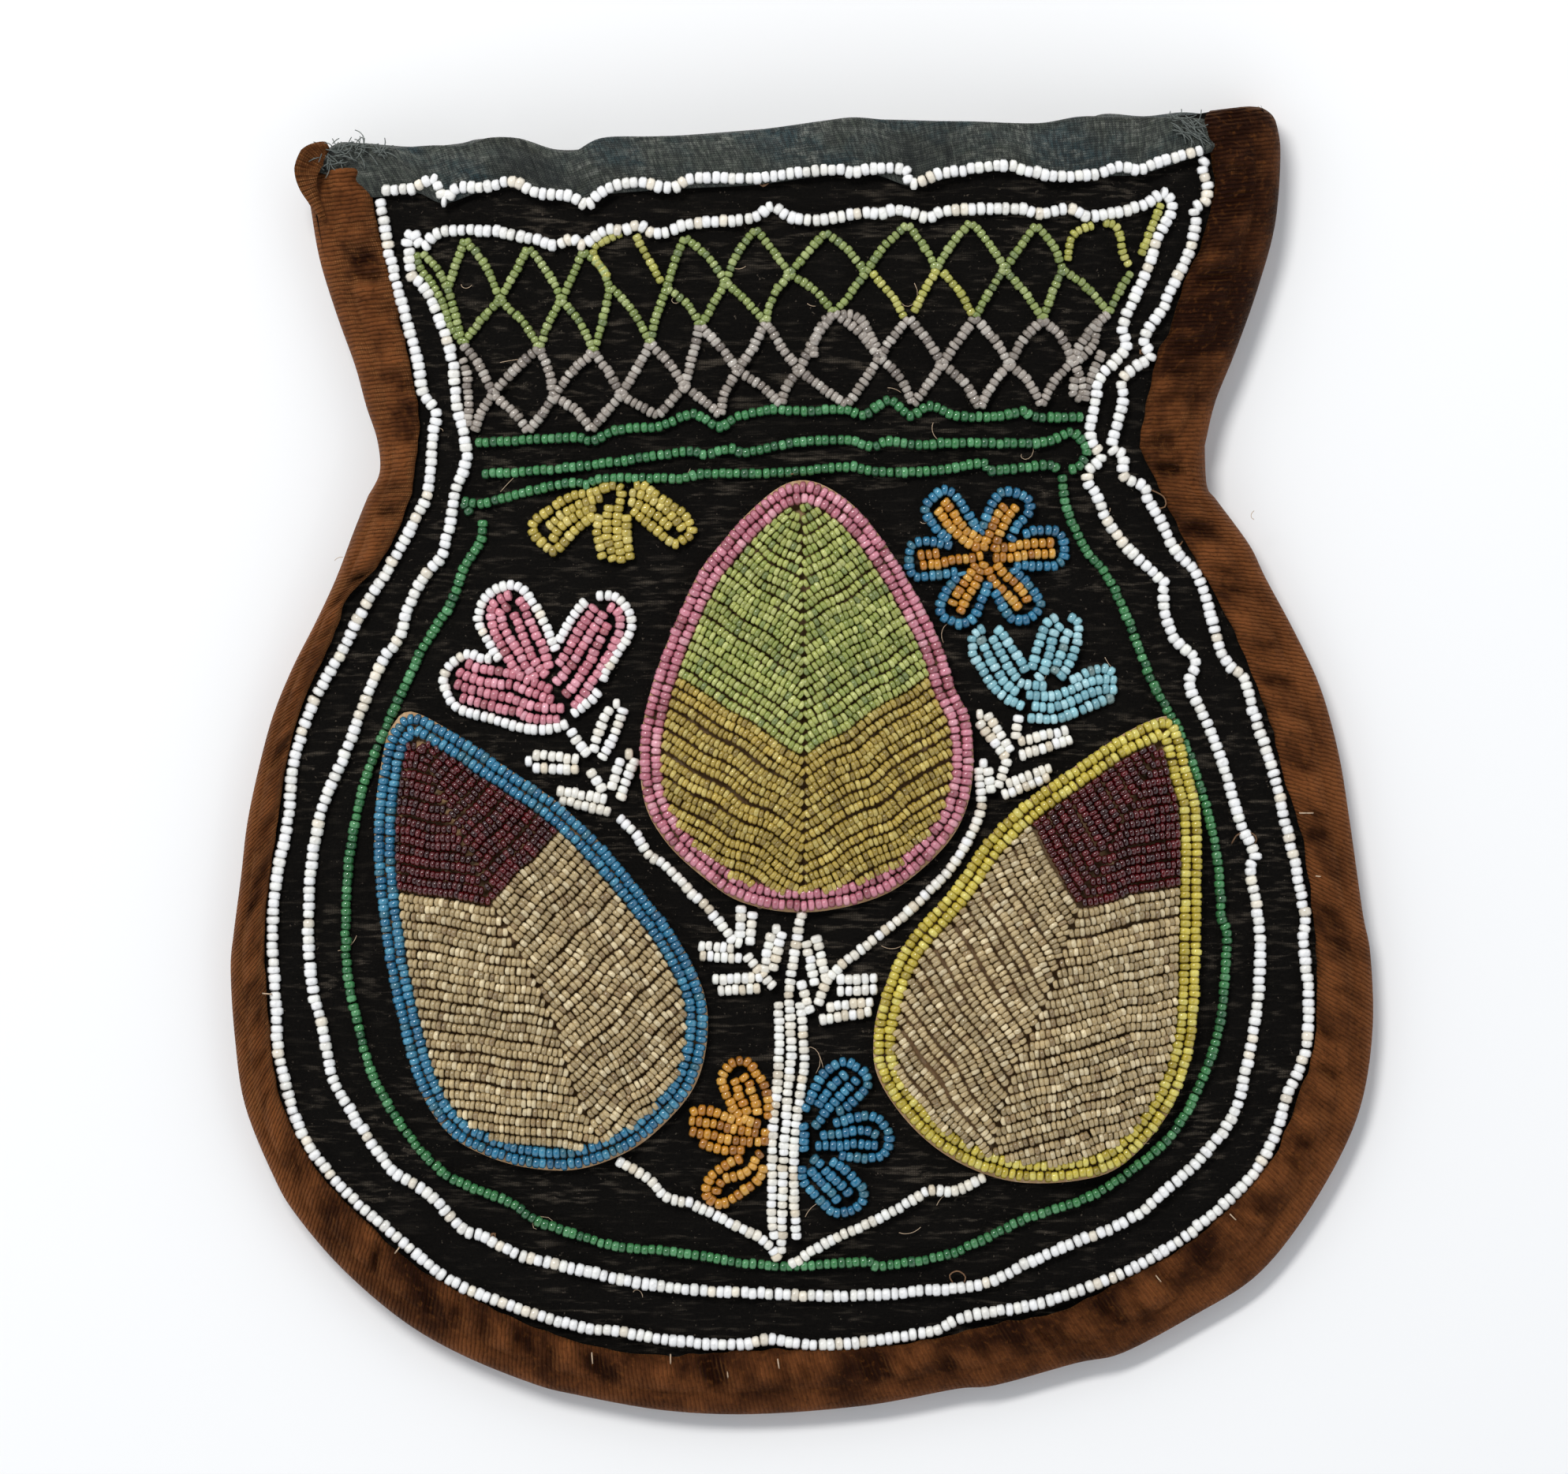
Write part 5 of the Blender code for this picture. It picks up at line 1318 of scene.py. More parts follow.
RIM_PITCH_PX = 9.0
RIM_WIDTH_PX = 14.6
RIM_GAP_PX = 14.2
FILL_MARGIN_PX = 7.0
CARD_RINGS = 14
CARD_STEPS = 180


def crossings(origin, way, edge):
    """How far along a ray it crosses a closed edge."""
    a = edge[:-1]
    side = edge[1:] - a
    cross = way[0] * side[:, 1] - way[1] * side[:, 0]
    cross = np.where(np.abs(cross) < SHORTEST_SQUARED, SHORTEST_SQUARED, cross)
    gap = a - origin
    far = (gap[:, 0] * side[:, 1] - gap[:, 1] * side[:, 0]) / cross
    share = (gap[:, 0] * way[1] - gap[:, 1] * way[0]) / cross
    return np.sort(far[(share >= 0) & (share < 1) & (far > 0)])


def inner_rim(leaf):
    """The inner rim row: the outer row moved in by one bead."""
    line = walk(smooth(leaf["outer"], closed=True), count=240)[:-1]
    run = np.roll(line, -4, axis=0) - np.roll(line, 4, axis=0)
    run /= np.linalg.norm(run, axis=1)[:, None]
    inward = np.stack([-run[:, 1], run[:, 0]], axis=1)
    middle = line.mean(axis=0)
    if ((middle - line) * inward).sum() < 0:
        inward = -inward
    line = line + inward * RIM_GAP_PX * METRES_PER_PX
    return np.concatenate([line, line[:1]])


ROW_SWAY = 0.00034
ROW_SWAY_RUN = 0.008
ROW_SWAY_KEPT = 0.2


def herringbone(leaf, draw):
    """Bead rows from the midrib to the rim on both sides, split into the two colours."""
    inner = inner_rim(leaf)
    rib = walk(smooth(leaf["rib"]), pitch=0.0002)
    run = directions(rib)[0]
    down = run_length(rib)
    split = down[np.argmin(np.linalg.norm(rib - at(leaf["split_px"]), axis=1))]

    def surface(flat):
        crown = FILL_CROWN * ease(line_distance(flat, inner) / CROWN_RUN)
        dip = RIB_DIP * np.exp(-(line_distance(flat, rib) / RIB_DIP_REACH) ** 2)
        return velvet_at(flat) + CARD_SEAT + CARD_THICK + FILL_SEAT + crown - dip

    margin = FILL_MARGIN_PX * METRES_PER_PX
    pitch = ROW_PITCH_PX * METRES_PER_PX
    rows = [[], []]
    for half, angles in enumerate(leaf["slopes"]):
        spot = half * 0.5 * pitch
        while spot < down[-1]:
            k = min(np.searchsorted(down, spot), len(rib) - 1)
            share = spot / down[-1]
            turn = math.radians(np.interp(share, (0, 0.5, 1), angles) + draw.uniform(-0.35, 0.35))
            way = np.array([math.cos(turn), math.sin(turn)])
            far = crossings(rib[k], way, inner)
            if len(far):
                begin = 0.0 if len(far) % 2 else far[0] + margin * 0.6
                finish = far[0] - margin if len(far) % 2 else far[1] - margin
                begin += draw.uniform(0.0, 0.25) * pitch if len(far) % 2 else 0
                if finish - begin > pitch * 0.7:
                    aside = np.array([-way[1], way[0]])
                    t = np.linspace(0, 1, 25)[:, None]
                    line = rib[k] + way * (begin + (finish - begin) * t)
                    sway = wander(np.column_stack([line @ way, line @ aside * ROW_SWAY_KEPT]), ROW_SWAY_RUN,
                                  ROW_SWAY, seed=40 + half)
                    bow = draw.uniform(-0.12, 0.12) * pitch
                    line = line + aside * ((sway[:, None] + bow) * np.sin(math.pi * t) ** 0.7)
                    kind = 0 if spot < split else 1
                    row = lay_row(line, leaf["fills"][kind][1], draw, FILL_PITCH_PX, FILL_WIDTH_PX, surface)
                    row[3][:] = np.clip(row[3] * draw.uniform(0.84, 1.12), 0, BRIGHTEST)
                    rows[kind].append(row)
            skew = abs(run[k, 0] * way[1] - run[k, 1] * way[0])
            spot += pitch / max(skew, 0.3)
    return rows


def leaf_card_piece(side, leaf):
    edge = smooth(leaf["outer"], closed=True)
    middle = edge.mean(axis=0)
    reach = 1 + CARD_LIP_PX * METRES_PER_PX / np.linalg.norm(edge - middle, axis=1).mean()
    edge = walk(middle + (edge - middle) * reach, count=CARD_STEPS)[:-1]
    rings = [middle + (edge - middle) * (1 - r / CARD_RINGS) for r in range(CARD_RINGS)]
    flat = np.concatenate(rings + [middle[None]])
    z = velvet_at(flat) + CARD_SEAT
    size = len(flat)
    points = np.concatenate([np.column_stack([flat, z + CARD_THICK]), np.column_stack([flat, z])])
    faces = []
    for r in range(CARD_RINGS - 1):
        this = r * CARD_STEPS
        after = this + CARD_STEPS
        for i in range(CARD_STEPS):
            j = (i + 1) % CARD_STEPS
            face = (this + i, after + i, after + j, this + j)
            faces += [face, tuple(corner + size for corner in (face[0], face[3], face[2], face[1]))]
    last = (CARD_RINGS - 1) * CARD_STEPS
    for i in range(CARD_STEPS):
        j = (i + 1) % CARD_STEPS
        faces += [(last + i, size - 1, last + j), (last + i + size, last + j + size, 2 * size - 1),
                  (i, j, j + size, i + size)]
    new_piece(side + "_leaf_tan_card", points, faces, "leaf_card", body="purse",
              nodes=[side + "_leaf_card"])


def leaf_pieces():
    draw = np.random.default_rng(55)
    card_top = CARD_SEAT + CARD_THICK
    for number, (side, leaf) in enumerate(LEAVES.items()):
        leaf_card_piece(side, leaf)
        rings = ((smooth(leaf["outer"], closed=True), 0.0), (inner_rim(leaf), INNER_RIM_LIFT))
        rim = [lay_row(line, leaf["rim"], draw, RIM_PITCH_PX, RIM_WIDTH_PX, velvet_at, card_top + extra)
               for line, extra in rings]
        bead_piece(side + "_leaf_rim_beads", rim, "opaque_beads", [side + "_leaf_rim"],
                   70 + number)
        for kind, rows in enumerate(herringbone(leaf, draw)):
            label = leaf["fills"][kind][0]
            bead_piece(side + "_leaf_" + label + "_beads", rows, "clear_beads", [side + "_leaf_" + label],
                       80 + 2 * number + kind)


leaf_pieces()


# Trunk, stalk, vines and sprigs: white beads sewn in single rows, and in pairs for each leaflet.
STEM_ROWS_PX = {
    "trunk": [
        [(987, 1270), (988, 1326), (984, 1390), (979, 1441), (979, 1543), (983, 1570)],
        [(1000, 1257), (1003, 1330), (998, 1400), (993, 1480), (991, 1590)],
        [(1015, 1270), (1020, 1345), (1013, 1395), (1006, 1479), (1010, 1572)],
    ],
    "stalk": [[(1016, 1156), (1010, 1195), (1005, 1225), (1001, 1258)]],
    "left_vine": [[(782, 1471), (822, 1494), (845, 1518), (879, 1527), (919, 1547), (970, 1575),
                   (988, 1598)]],
    "right_vine": [[(1000, 1604), (1014, 1598), (1027, 1588), (1065, 1567), (1111, 1547), (1162, 1519),
                    (1180, 1509), (1211, 1510), (1249, 1491)]],
    "left_sprig": [
        [(722, 925), (740, 951), (747, 958)], [(773, 897), (760, 925), (752, 953)],
        [(791, 897), (780, 930), (762, 963)], [(676, 956), (734, 963)], [(676, 974), (734, 976)],
        [(747, 976), (757, 991), (765, 1004)], [(788, 961), (775, 1002)], [(806, 961), (785, 1014)],
        [(706, 1002), (770, 1014)], [(709, 1014), (775, 1030)],
        [(783, 1035), (806, 1058), (824, 1086), (839, 1093), (870, 1124), (903, 1157), (928, 1190),
         (941, 1196)],
        [(940, 1147), (938, 1190)], [(954, 1155), (951, 1198)], [(885, 1198), (931, 1203)],
        [(887, 1212), (941, 1215)], [(946, 1211), (972, 1242), (982, 1252)], [(977, 1183), (969, 1234)],
        [(992, 1180), (979, 1231)], [(903, 1242), (967, 1239)], [(910, 1256), (964, 1253)],
    ],
    "right_sprig": [
        [(1291, 907), (1286, 938)], [(1250, 905), (1283, 953)], [(1240, 915), (1277, 963)],
        [(1291, 940), (1354, 926)], [(1291, 958), (1360, 937)], [(1277, 963), (1268, 989), (1265, 999)],
        [(1240, 973), (1245, 1017)], [(1252, 973), (1256, 1006)], [(1275, 995), (1334, 973)],
        [(1270, 1009), (1330, 985)],
        [(1245, 1017), (1237, 1045), (1207, 1098), (1158, 1149), (1102, 1196), (1069, 1221), (1048, 1244),
         (1037, 1275)],
        [(1022, 1193), (1033, 1249)], [(1034, 1186), (1048, 1244)], [(1061, 1242), (1112, 1240)],
        [(1061, 1257), (1112, 1254)], [(1047, 1277), (1107, 1270)], [(1038, 1293), (1105, 1282)],
        [(1015, 1244), (1028, 1285)],
    ],
}
TIP_BEADS_PX = {"left_sprig": [(783, 892), (670, 965), (797, 956), (984, 1177)],
                "right_sprig": [(1242, 906), (1246, 968)]}
TRUNK_WIDTH_PX = 13.5
TIP_HALF_PX = 5


def stem_pieces():
    draw = np.random.default_rng(91)
    for number, (node, lines) in enumerate(STEM_ROWS_PX.items()):
        thick = TRUNK_WIDTH_PX if node == "trunk" else STEM_WIDTH_PX
        rows = [lay_row(smooth(line), "stem_white", draw, STEM_PITCH_PX, thick) for line in lines]
        for x, y in TIP_BEADS_PX.get(node, []):
            tip = at([(x - TIP_HALF_PX, y), (x + TIP_HALF_PX, y)])
            rows.append(lay_row(tip, "stem_white", draw, STEM_PITCH_PX, thick))
        bead_piece(node + "_beads", rows, "opaque_beads", [node], 92 + number)


stem_pieces()


# Flowers: each petal is a loop of beads with more rows inside it, sewn side by side.
# The pink flower is ringed with white beads and the amber star with blue ones.
FLOWERS_PX = {
    "yellow_flower": ("yellow_beads", {"petal_yellow": [
        [(770, 618), (750, 626), (726, 629), (705, 641), (686, 654), (676, 664), (676, 675), (690, 692),
         (703, 699), (712, 692), (722, 681), (733, 670), (745, 660), (755, 654)],
        [(765, 631), (740, 639), (715, 652), (695, 670)],
        [(757, 643), (733, 654), (711, 668), (700, 686)],
        [(764, 619), (779, 617), (789, 623), (784, 650), (783, 680), (787, 697), (788, 714)],
        [(762, 652), (757, 670), (760, 690), (765, 709)],
        [(773, 640), (770, 665), (771, 685), (779, 712)],
        [(795, 652), (795, 680), (798, 700), (799, 710)],
        [(803, 617), (815, 616), (832, 628), (850, 640), (866, 652), (876, 664), (877, 676), (868, 684),
         (858, 690), (846, 685), (836, 676), (822, 664), (808, 652), (801, 647)],
        [(799, 625), (820, 630), (840, 644), (856, 659), (867, 673)],
        [(797, 635), (815, 643), (835, 656), (852, 671)],
    ]}),
    "pink_flower": ("pink_beads", {
        "white": [
            [(634, 837), (624, 823), (615, 806), (608, 793), (607, 779), (612, 764), (622, 752),
             (636, 744), (652, 742), (665, 750), (675, 763), (685, 780), (693, 795), (700, 812),
             (705, 826)],
            [(708, 814), (722, 790), (735, 772), (744, 762)],
            [(757, 756), (770, 755), (785, 760), (796, 773), (801, 788), (798, 805), (786, 822),
             (776, 838), (768, 852), (763, 864)],
            [(624, 836), (612, 835), (592, 829), (580, 836), (568, 846), (562, 860), (563, 872),
             (570, 886), (580, 898), (596, 904), (618, 910), (645, 918), (672, 925), (700, 924),
             (720, 917)],
            [(760, 876), (750, 887), (738, 897), (726, 906)],
        ],
        "pink": [
            [(648, 754), (633, 760), (623, 772), (624, 790), (630, 808), (640, 825), (648, 842),
             (658, 854)],
            [(645, 767), (634, 778), (639, 795), (648, 812), (658, 828), (668, 845), (680, 862)],
            [(650, 777), (657, 790), (664, 808), (672, 825), (680, 842), (694, 858)],
            [(657, 758), (666, 772), (672, 788), (679, 803), (687, 818), (693, 835), (696, 848)],
            [(757, 769), (745, 784), (735, 799), (727, 814), (718, 829), (708, 844)],
            [(768, 776), (758, 790), (748, 805), (738, 822), (728, 839), (716, 853), (704, 868)],
            [(772, 790), (765, 805), (757, 820), (749, 837), (740, 851), (730, 866), (716, 884)],
            [(771, 768), (784, 777), (787, 790), (785, 803), (778, 820), (768, 838), (758, 855),
             (747, 870), (735, 888), (727, 898)],
            [(590, 842), (610, 848), (630, 851), (648, 854), (665, 860), (685, 869), (700, 876)],
            [(580, 850), (592, 858), (610, 864), (630, 867), (655, 870), (675, 879), (702, 888)],
            [(577, 866), (590, 872), (612, 878), (640, 884), (665, 891), (690, 898), (716, 898)],
            [(583, 884), (605, 891), (628, 897), (648, 902), (664, 904)],
            [(660, 905), (674, 911), (692, 913), (711, 911)],
        ]}),
    "star_flower": ("amber_beads", {
        "amber": [
            [(1242, 695), (1228, 690), (1215, 680), (1203, 668), (1195, 655), (1187, 645)],
            [(1250, 693), (1238, 682), (1226, 674), (1216, 663), (1208, 651), (1200, 640), (1195, 635)],
            [(1246, 699), (1250, 685), (1258, 668), (1265, 652), (1274, 640)],
            [(1259, 699), (1264, 685), (1272, 665), (1282, 650), (1290, 641)],
            [(1259, 697), (1275, 695), (1295, 691), (1315, 689), (1336, 688)],
            [(1258, 708), (1285, 706), (1310, 703), (1338, 701)],
            [(1262, 714), (1270, 725), (1285, 738), (1298, 752), (1304, 764)],
            [(1251, 720), (1258, 735), (1272, 750), (1285, 763), (1293, 773)],
            [(1248, 712), (1242, 728), (1235, 742), (1227, 756), (1220, 770), (1216, 778)],
            [(1238, 715), (1230, 728), (1222, 740), (1212, 755), (1206, 767)],
            [(1246, 706), (1225, 709), (1205, 711), (1190, 715), (1166, 717)],
            [(1190, 702), (1178, 703), (1164, 705)],
        ],
        "blue": [
            [(1205, 686), (1190, 675), (1181, 663), (1174, 652), (1174, 640), (1183, 631), (1190, 624),
             (1200, 622), (1210, 628), (1218, 639), (1226, 651), (1234, 664), (1243, 676), (1247, 664),
             (1252, 652), (1257, 640), (1264, 630), (1271, 624), (1281, 624), (1293, 627), (1303, 633),
             (1306, 645), (1298, 658), (1288, 668), (1284, 678), (1280, 686)],
            [(1297, 679), (1310, 674), (1325, 672), (1341, 675), (1349, 686), (1350, 697), (1348, 708),
             (1339, 716), (1325, 718), (1305, 718), (1286, 718), (1288, 727), (1298, 734), (1306, 745),
             (1313, 755), (1319, 765), (1314, 776), (1303, 785), (1289, 787), (1279, 780), (1272, 770),
             (1266, 760), (1259, 750)],
            [(1252, 738), (1250, 748), (1246, 758), (1241, 769), (1236, 780), (1228, 788), (1215, 791),
             (1204, 786), (1194, 780), (1192, 768), (1196, 757), (1202, 746), (1211, 736), (1218, 727),
             (1204, 727), (1190, 729), (1175, 731), (1160, 732), (1153, 722), (1152, 711), (1153, 699),
             (1158, 690), (1167, 687), (1180, 687), (1193, 690), (1206, 694)],
        ]}),
    "turquoise_flower": ("turquoise_beads", {"turquoise": [
        [(1248, 796), (1234, 806), (1232, 820), (1238, 838), (1247, 852), (1256, 866), (1268, 880),
         (1284, 890), (1298, 896)],
        [(1242, 808), (1250, 824), (1258, 840), (1266, 855), (1276, 868), (1290, 879)],
        [(1257, 808), (1265, 822), (1273, 836), (1281, 850), (1291, 863), (1303, 868), (1326, 871)],
        [(1262, 796), (1270, 804), (1279, 816), (1288, 830), (1295, 842), (1300, 853)],
        [(1340, 781), (1328, 790), (1320, 805), (1316, 820), (1311, 835), (1308, 850)],
        [(1345, 791), (1337, 802), (1333, 818), (1328, 834), (1323, 850), (1314, 862)],
        [(1356, 798), (1350, 810), (1347, 825), (1341, 840), (1335, 855)],
        [(1354, 782), (1367, 789), (1367, 805), (1363, 822), (1357, 838), (1350, 852), (1343, 861)],
        [(1356, 864), (1371, 857), (1385, 850), (1400, 848), (1412, 855)],
        [(1300, 881), (1330, 883), (1350, 878), (1366, 871), (1383, 864), (1402, 861), (1416, 864)],
        [(1308, 896), (1335, 897), (1355, 891), (1375, 882), (1395, 875), (1416, 874)],
        [(1303, 910), (1325, 912), (1345, 910), (1362, 904), (1380, 896), (1397, 889), (1411, 884)],
    ]}),
    "amber_flower": ("amber_beads", {"amber": [
        [(974, 1418), (974, 1400), (972, 1386), (969, 1374), (961, 1364), (953, 1352), (944, 1345),
         (935, 1345), (926, 1349), (919, 1358), (915, 1369), (918, 1380), (923, 1392), (929, 1404),
         (938, 1414), (950, 1422), (965, 1427)],
        [(962, 1414), (959, 1402), (955, 1388), (949, 1374), (941, 1362)],
        [(948, 1412), (943, 1401), (937, 1388), (934, 1376), (929, 1366)],
        [(942, 1422), (930, 1419), (917, 1414), (905, 1410), (894, 1408), (884, 1408), (876, 1412)],
        [(962, 1437), (945, 1434), (930, 1431), (915, 1427), (900, 1424), (885, 1422), (873, 1421)],
        [(965, 1448), (950, 1447), (930, 1445), (915, 1443), (900, 1438), (885, 1436), (874, 1433)],
        [(944, 1457), (932, 1458), (918, 1458), (905, 1455), (895, 1452), (887, 1448)],
        [(970, 1430), (970, 1452)],
        [(941, 1467), (930, 1472), (919, 1478), (910, 1485), (902, 1491), (897, 1500), (895, 1510),
         (899, 1520), (910, 1526), (922, 1524), (933, 1517), (942, 1509), (953, 1503), (961, 1495),
         (967, 1486), (968, 1476)],
        [(966, 1460), (957, 1469), (955, 1479), (945, 1486), (931, 1492), (918, 1495), (911, 1503),
         (909, 1513)],
    ]}),
    "blue_flower": ("blue_beads", {"blue": [
        [(1019, 1408), (1025, 1396), (1031, 1386), (1036, 1375), (1042, 1365), (1051, 1356), (1061, 1349),
         (1073, 1346), (1084, 1351), (1094, 1357), (1100, 1367), (1099, 1378), (1090, 1388),
         (1080, 1398), (1071, 1405), (1061, 1409)],
        [(1036, 1405), (1042, 1394), (1049, 1384), (1057, 1374), (1066, 1366), (1073, 1361)],
        [(1032, 1430), (1041, 1419), (1049, 1408), (1058, 1397), (1067, 1387), (1077, 1377),
         (1087, 1367)],
        [(1056, 1424), (1070, 1420), (1085, 1416), (1100, 1415), (1113, 1419), (1122, 1428), (1127, 1440),
         (1126, 1453), (1119, 1464), (1105, 1468), (1090, 1468), (1076, 1466), (1064, 1464)],
        [(1040, 1440), (1055, 1438), (1070, 1436), (1090, 1433), (1103, 1434), (1113, 1440)],
        [(1033, 1453), (1050, 1452), (1070, 1452), (1090, 1450), (1103, 1452), (1114, 1452)],
        [(1018, 1424), (1020, 1437), (1018, 1450), (1021, 1460)],
        [(1017, 1477), (1017, 1490), (1021, 1501), (1030, 1511), (1040, 1522), (1049, 1532), (1060, 1539),
         (1073, 1537), (1085, 1532), (1094, 1522), (1094, 1508), (1086, 1498), (1077, 1488),
         (1067, 1479), (1053, 1471)],
        [(1027, 1481), (1034, 1491), (1043, 1501), (1053, 1511), (1064, 1523)],
        [(1029, 1466), (1039, 1475), (1048, 1484), (1058, 1495), (1068, 1504), (1077, 1515)],
    ]}),
}
PETAL_PITCH_PX = 9.4
PETAL_WIDTH_PX = 13.6


def flower_pieces():
    draw = np.random.default_rng(131)
    for number, (node, (slot, lines)) in enumerate(FLOWERS_PX.items()):
        rows = [lay_row(smooth(line), palette, draw, PETAL_PITCH_PX, PETAL_WIDTH_PX)
                for palette, group in lines.items() for line in group]
        bead_piece(node + "_beads", rows, "opaque_beads", [node], 132 + number)


flower_pieces()


# Threads: stitches that hold the bindings, loops and knots where beads are lost, frayed warps and lint.
THREAD_RADIUS = 0.00011
STITCHES_PX = [(1648, 1031, 1666, 1031), (1669, 1111, 1679, 1112), (750, 1716, 751, 1730),
               (850, 1718, 850, 1731), (922, 1735, 923, 1748), (986, 1724, 988, 1737),
               (1466, 1618, 1474, 1628), (500, 1590, 506, 1582), (1560, 1540, 1570, 1550),
               (332, 1260, 344, 1261)]
LOOPS_PX = [
    [(1448, 618), (1462, 622), (1476, 630), (1478, 642), (1466, 644), (1458, 634)],
    [(1484, 688), (1494, 692), (1500, 686)], [(1490, 650), (1500, 648), (1504, 656)],
    [(1210, 1630), (1204, 1618), (1214, 1612), (1224, 1619), (1222, 1630)],
    [(1562, 1070), (1570, 1058), (1586, 1056), (1594, 1064), (1588, 1074)],
    [(1168, 1690), (1178, 1688), (1186, 1690)], [(1195, 860), (1190, 872), (1195, 884)],
    [(960, 231), (968, 238), (978, 230)], [(990, 600), (1004, 602), (1014, 598)],
]
# Each group of frayed warps: middle and spread, how many, shortest and longest, heading and stray.
FRAYS = [((1500, 158), (16, 12), 34, (18, 34), 0.6, 0.22), ((1490, 150), (18, 3), 8, (5, 10), -0.6, 0.5),
         ((446, 190), (40, 8), 44, (8, 22), -0.3, 1.0), ((424, 198), (16, 12), 24, (10, 24), 1.2, 1.2)]
TORN_END_PX = [(416, 184, 10), (406, 190, 22), (396, 200, 34), (389, 216, 32), (390, 234, 24),
               (397, 252, 16), (405, 268, 11), (411, 279, 6)]
KNOTS_PX = [(970, 233), (625, 1567), (1448, 446), (1052, 1645), (1090, 1644)]
RIBBON_Z = 0.0062
STITCH_Z = 0.0068
STITCH_ARCH = 0.0003
STITCH_SINK = 0.0002
LOOP_ARCH = 0.0011
KNOT_RADIUS = 0.0003
FRAY_STEPS = 8
FRAY_LIFT = 0.0006
LOOSE_GAP = 0.0004
LINT_COUNT = 46
LINT_REACH_PX = (10, 34)
LINT_ACROSS_PX = (400, 1600)
LINT_DOWN_PX = (300, 1650)


def tube(line, radius, sides=5):
    """Points and faces of a thin round thread along a line in space."""
    run = np.gradient(line, axis=0)
    run /= np.maximum(np.linalg.norm(run, axis=1), 1e-9)[:, None]
    side = np.cross(run, np.array([0.0, 0.0, 1.0]))
    side /= np.maximum(np.linalg.norm(side, axis=1), 1e-9)[:, None]
    over = np.cross(side, run)
    points = []
    for k in range(sides):
        turn = 2 * math.pi * k / sides
        points.append(line + radius * (side * math.cos(turn) + over * math.sin(turn)))
    points = np.stack(points, axis=1).reshape(-1, 3)
    faces = []
    for i in range(len(line) - 1):
        for k in range(sides):
            j = (k + 1) % sides
            faces.append((i * sides + k, (i + 1) * sides + k, (i + 1) * sides + j, i * sides + j))
    faces.append(tuple(range(sides)))
    last = (len(line) - 1) * sides
    faces.append(tuple(range(last + sides - 1, last - 1, -1)))
    return points, faces


def thread_piece(name, lines, radius, material, slot, body="purse", blended=False):
    points = []
    faces = []
    start = 0
    for line in lines:
        spots, quads = tube(line, radius)
        points.append(spots)
        faces += [tuple(start + i for i in quad) for quad in quads]
        start += len(spots)
    new_piece(name, np.concatenate(points), faces, material, body=None if blended else body, slot=slot,
              blended=blended)


def binding_top(flat):
    return STITCH_Z + rise(flat)


def torn_end():
    """The torn end of the left ribbon, a curled strip of its worn ground."""
    line = smooth([(x, y) for x, y, _ in TORN_END_PX])
    side = directions(line)[1]
    share = np.linspace(0, 1, len(line))
    widths = [width for *_, width in TORN_END_PX]
    half = np.interp(share, np.linspace(0, 1, len(widths)), widths) * METRES_PER_PX / 2
    lift = 0.0004 + 0.0005 * np.sin(share * 9) ** 2 + 0.0006 * np.exp(-((share - 0.3) / 0.2) ** 2)
    rings = []
    across = (-1, -0.5, 0, 0.5, 1)
    section = [(reach, 0) for reach in across] + [(reach, 1) for reach in across[::-1]]
    for reach, drop in section:
        flat = line + side * (half * reach)[:, None]
        curl = 0.0005 * np.cos(reach * 2.4 + share * 8)
        rings.append(np.column_stack([flat, RIBBON_Z + rise(flat) + lift + curl - 0.0003 * drop]))
    rings = np.stack(rings, axis=1)
    sweep("torn_ribbon_end", rings, "brown_velvet", np.full(rings.shape[:2], 0.9), body="front_lip")


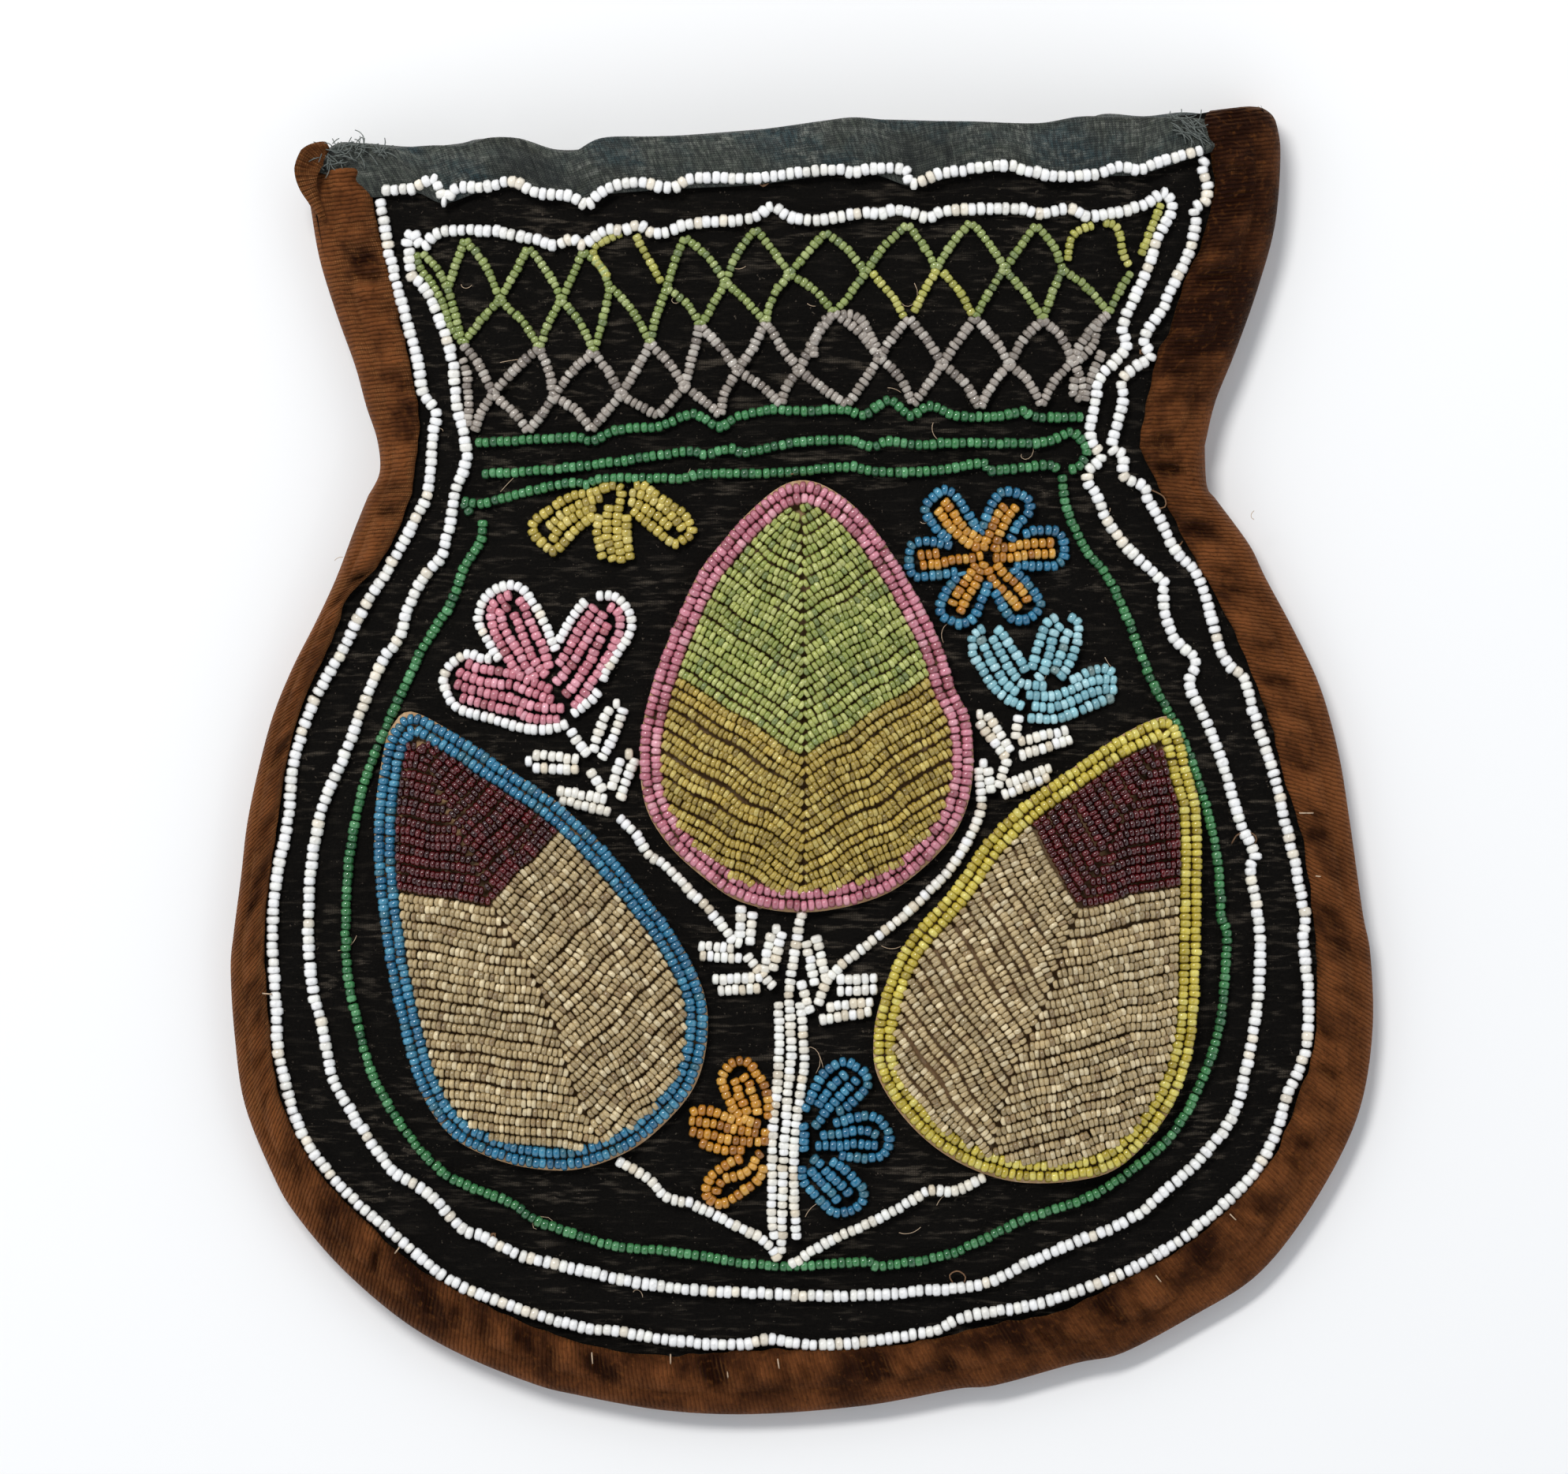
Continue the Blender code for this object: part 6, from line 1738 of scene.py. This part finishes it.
def thread_pieces():
    torn_end()
    draw = np.random.default_rng(211)
    stitches = []
    for x0, y0, x1, y1 in STITCHES_PX:
        flat = walk(at([(x0, y0), (x1, y1)]), count=6)
        arch = STITCH_ARCH * np.sin(np.linspace(0, math.pi, 7)) - STITCH_SINK
        stitches.append(np.column_stack([flat, binding_top(flat) + arch]))
    thread_piece("binding_stitches", stitches, THREAD_RADIUS, "tan_thread", "undyed_cloth")
    loops = []
    for line in LOOPS_PX:
        flat = walk(smooth(line), count=14)
        arch = LOOP_ARCH * np.sin(np.linspace(0, math.pi, 15)) ** 0.5
        loops.append(np.column_stack([flat, velvet_at(flat) + THREAD_RADIUS + arch]))
    for x, y in KNOTS_PX:
        turns = np.linspace(0, 5 * math.pi, 26)
        middle = at((x, y))
        flat = middle + KNOT_RADIUS * np.stack([np.cos(turns), np.sin(turns * 1.3)], axis=1)
        height = 0.0005 + KNOT_RADIUS * np.sin(turns * 0.7)
        loops.append(np.column_stack([flat, velvet_at(flat) + height]))
    thread_piece("loose_bead_threads", loops, THREAD_RADIUS, "brown_thread", "brown_velvet", blended=True)
    frays = []
    for middle, spread, count, reaches, heading, stray in FRAYS:
        for _ in range(count):
            x = middle[0] + draw.uniform(-1, 1) * spread[0]
            y = middle[1] + draw.uniform(-1, 1) * spread[1]
            reach = draw.uniform(*reaches)
            turn = draw.normal(heading, stray)
            bend = draw.normal(0, 0.5)
            t = np.linspace(0, 1, FRAY_STEPS)
            px = x + reach * t * np.cos(turn + bend * t)
            py = y + reach * t * np.sin(turn + bend * t)
            flat = at(np.stack([px, py], axis=1))
            arch = FRAY_LIFT * draw.uniform(0, 1) * np.sin(math.pi * t)
            frays.append(np.column_stack([flat, RIBBON_Z + rise(flat) + LOOSE_GAP + arch]))
    thread_piece("frayed_silk_threads", frays, THREAD_RADIUS * 0.7, "frayed_silk", "blue_grey_cloth",
                 body="front_lip")
    lint = []
    for _ in range(LINT_COUNT):
        x = draw.uniform(*LINT_ACROSS_PX)
        y = draw.uniform(*LINT_DOWN_PX)
        turn = draw.uniform(0, 2 * math.pi)
        t = np.linspace(0, 1, FRAY_STEPS)
        reach = draw.uniform(*LINT_REACH_PX)
        curl = draw.normal(0, 1.3)
        px = x + reach * t * np.cos(turn + curl * t)
        py = y + reach * t * np.sin(turn + curl * t)
        flat = at(np.stack([px, py], axis=1))
        lint.append(np.column_stack([flat, velvet_at(flat) + LOOSE_GAP]))
    thread_piece("velvet_lint", lint, THREAD_RADIUS * 0.45, "tan_thread", "undyed_cloth", blended=True)


thread_pieces()


# One bead has been instanced everywhere; its own mesh goes.
bpy.data.objects.remove(SINGLE_BEAD, do_unlink=True)
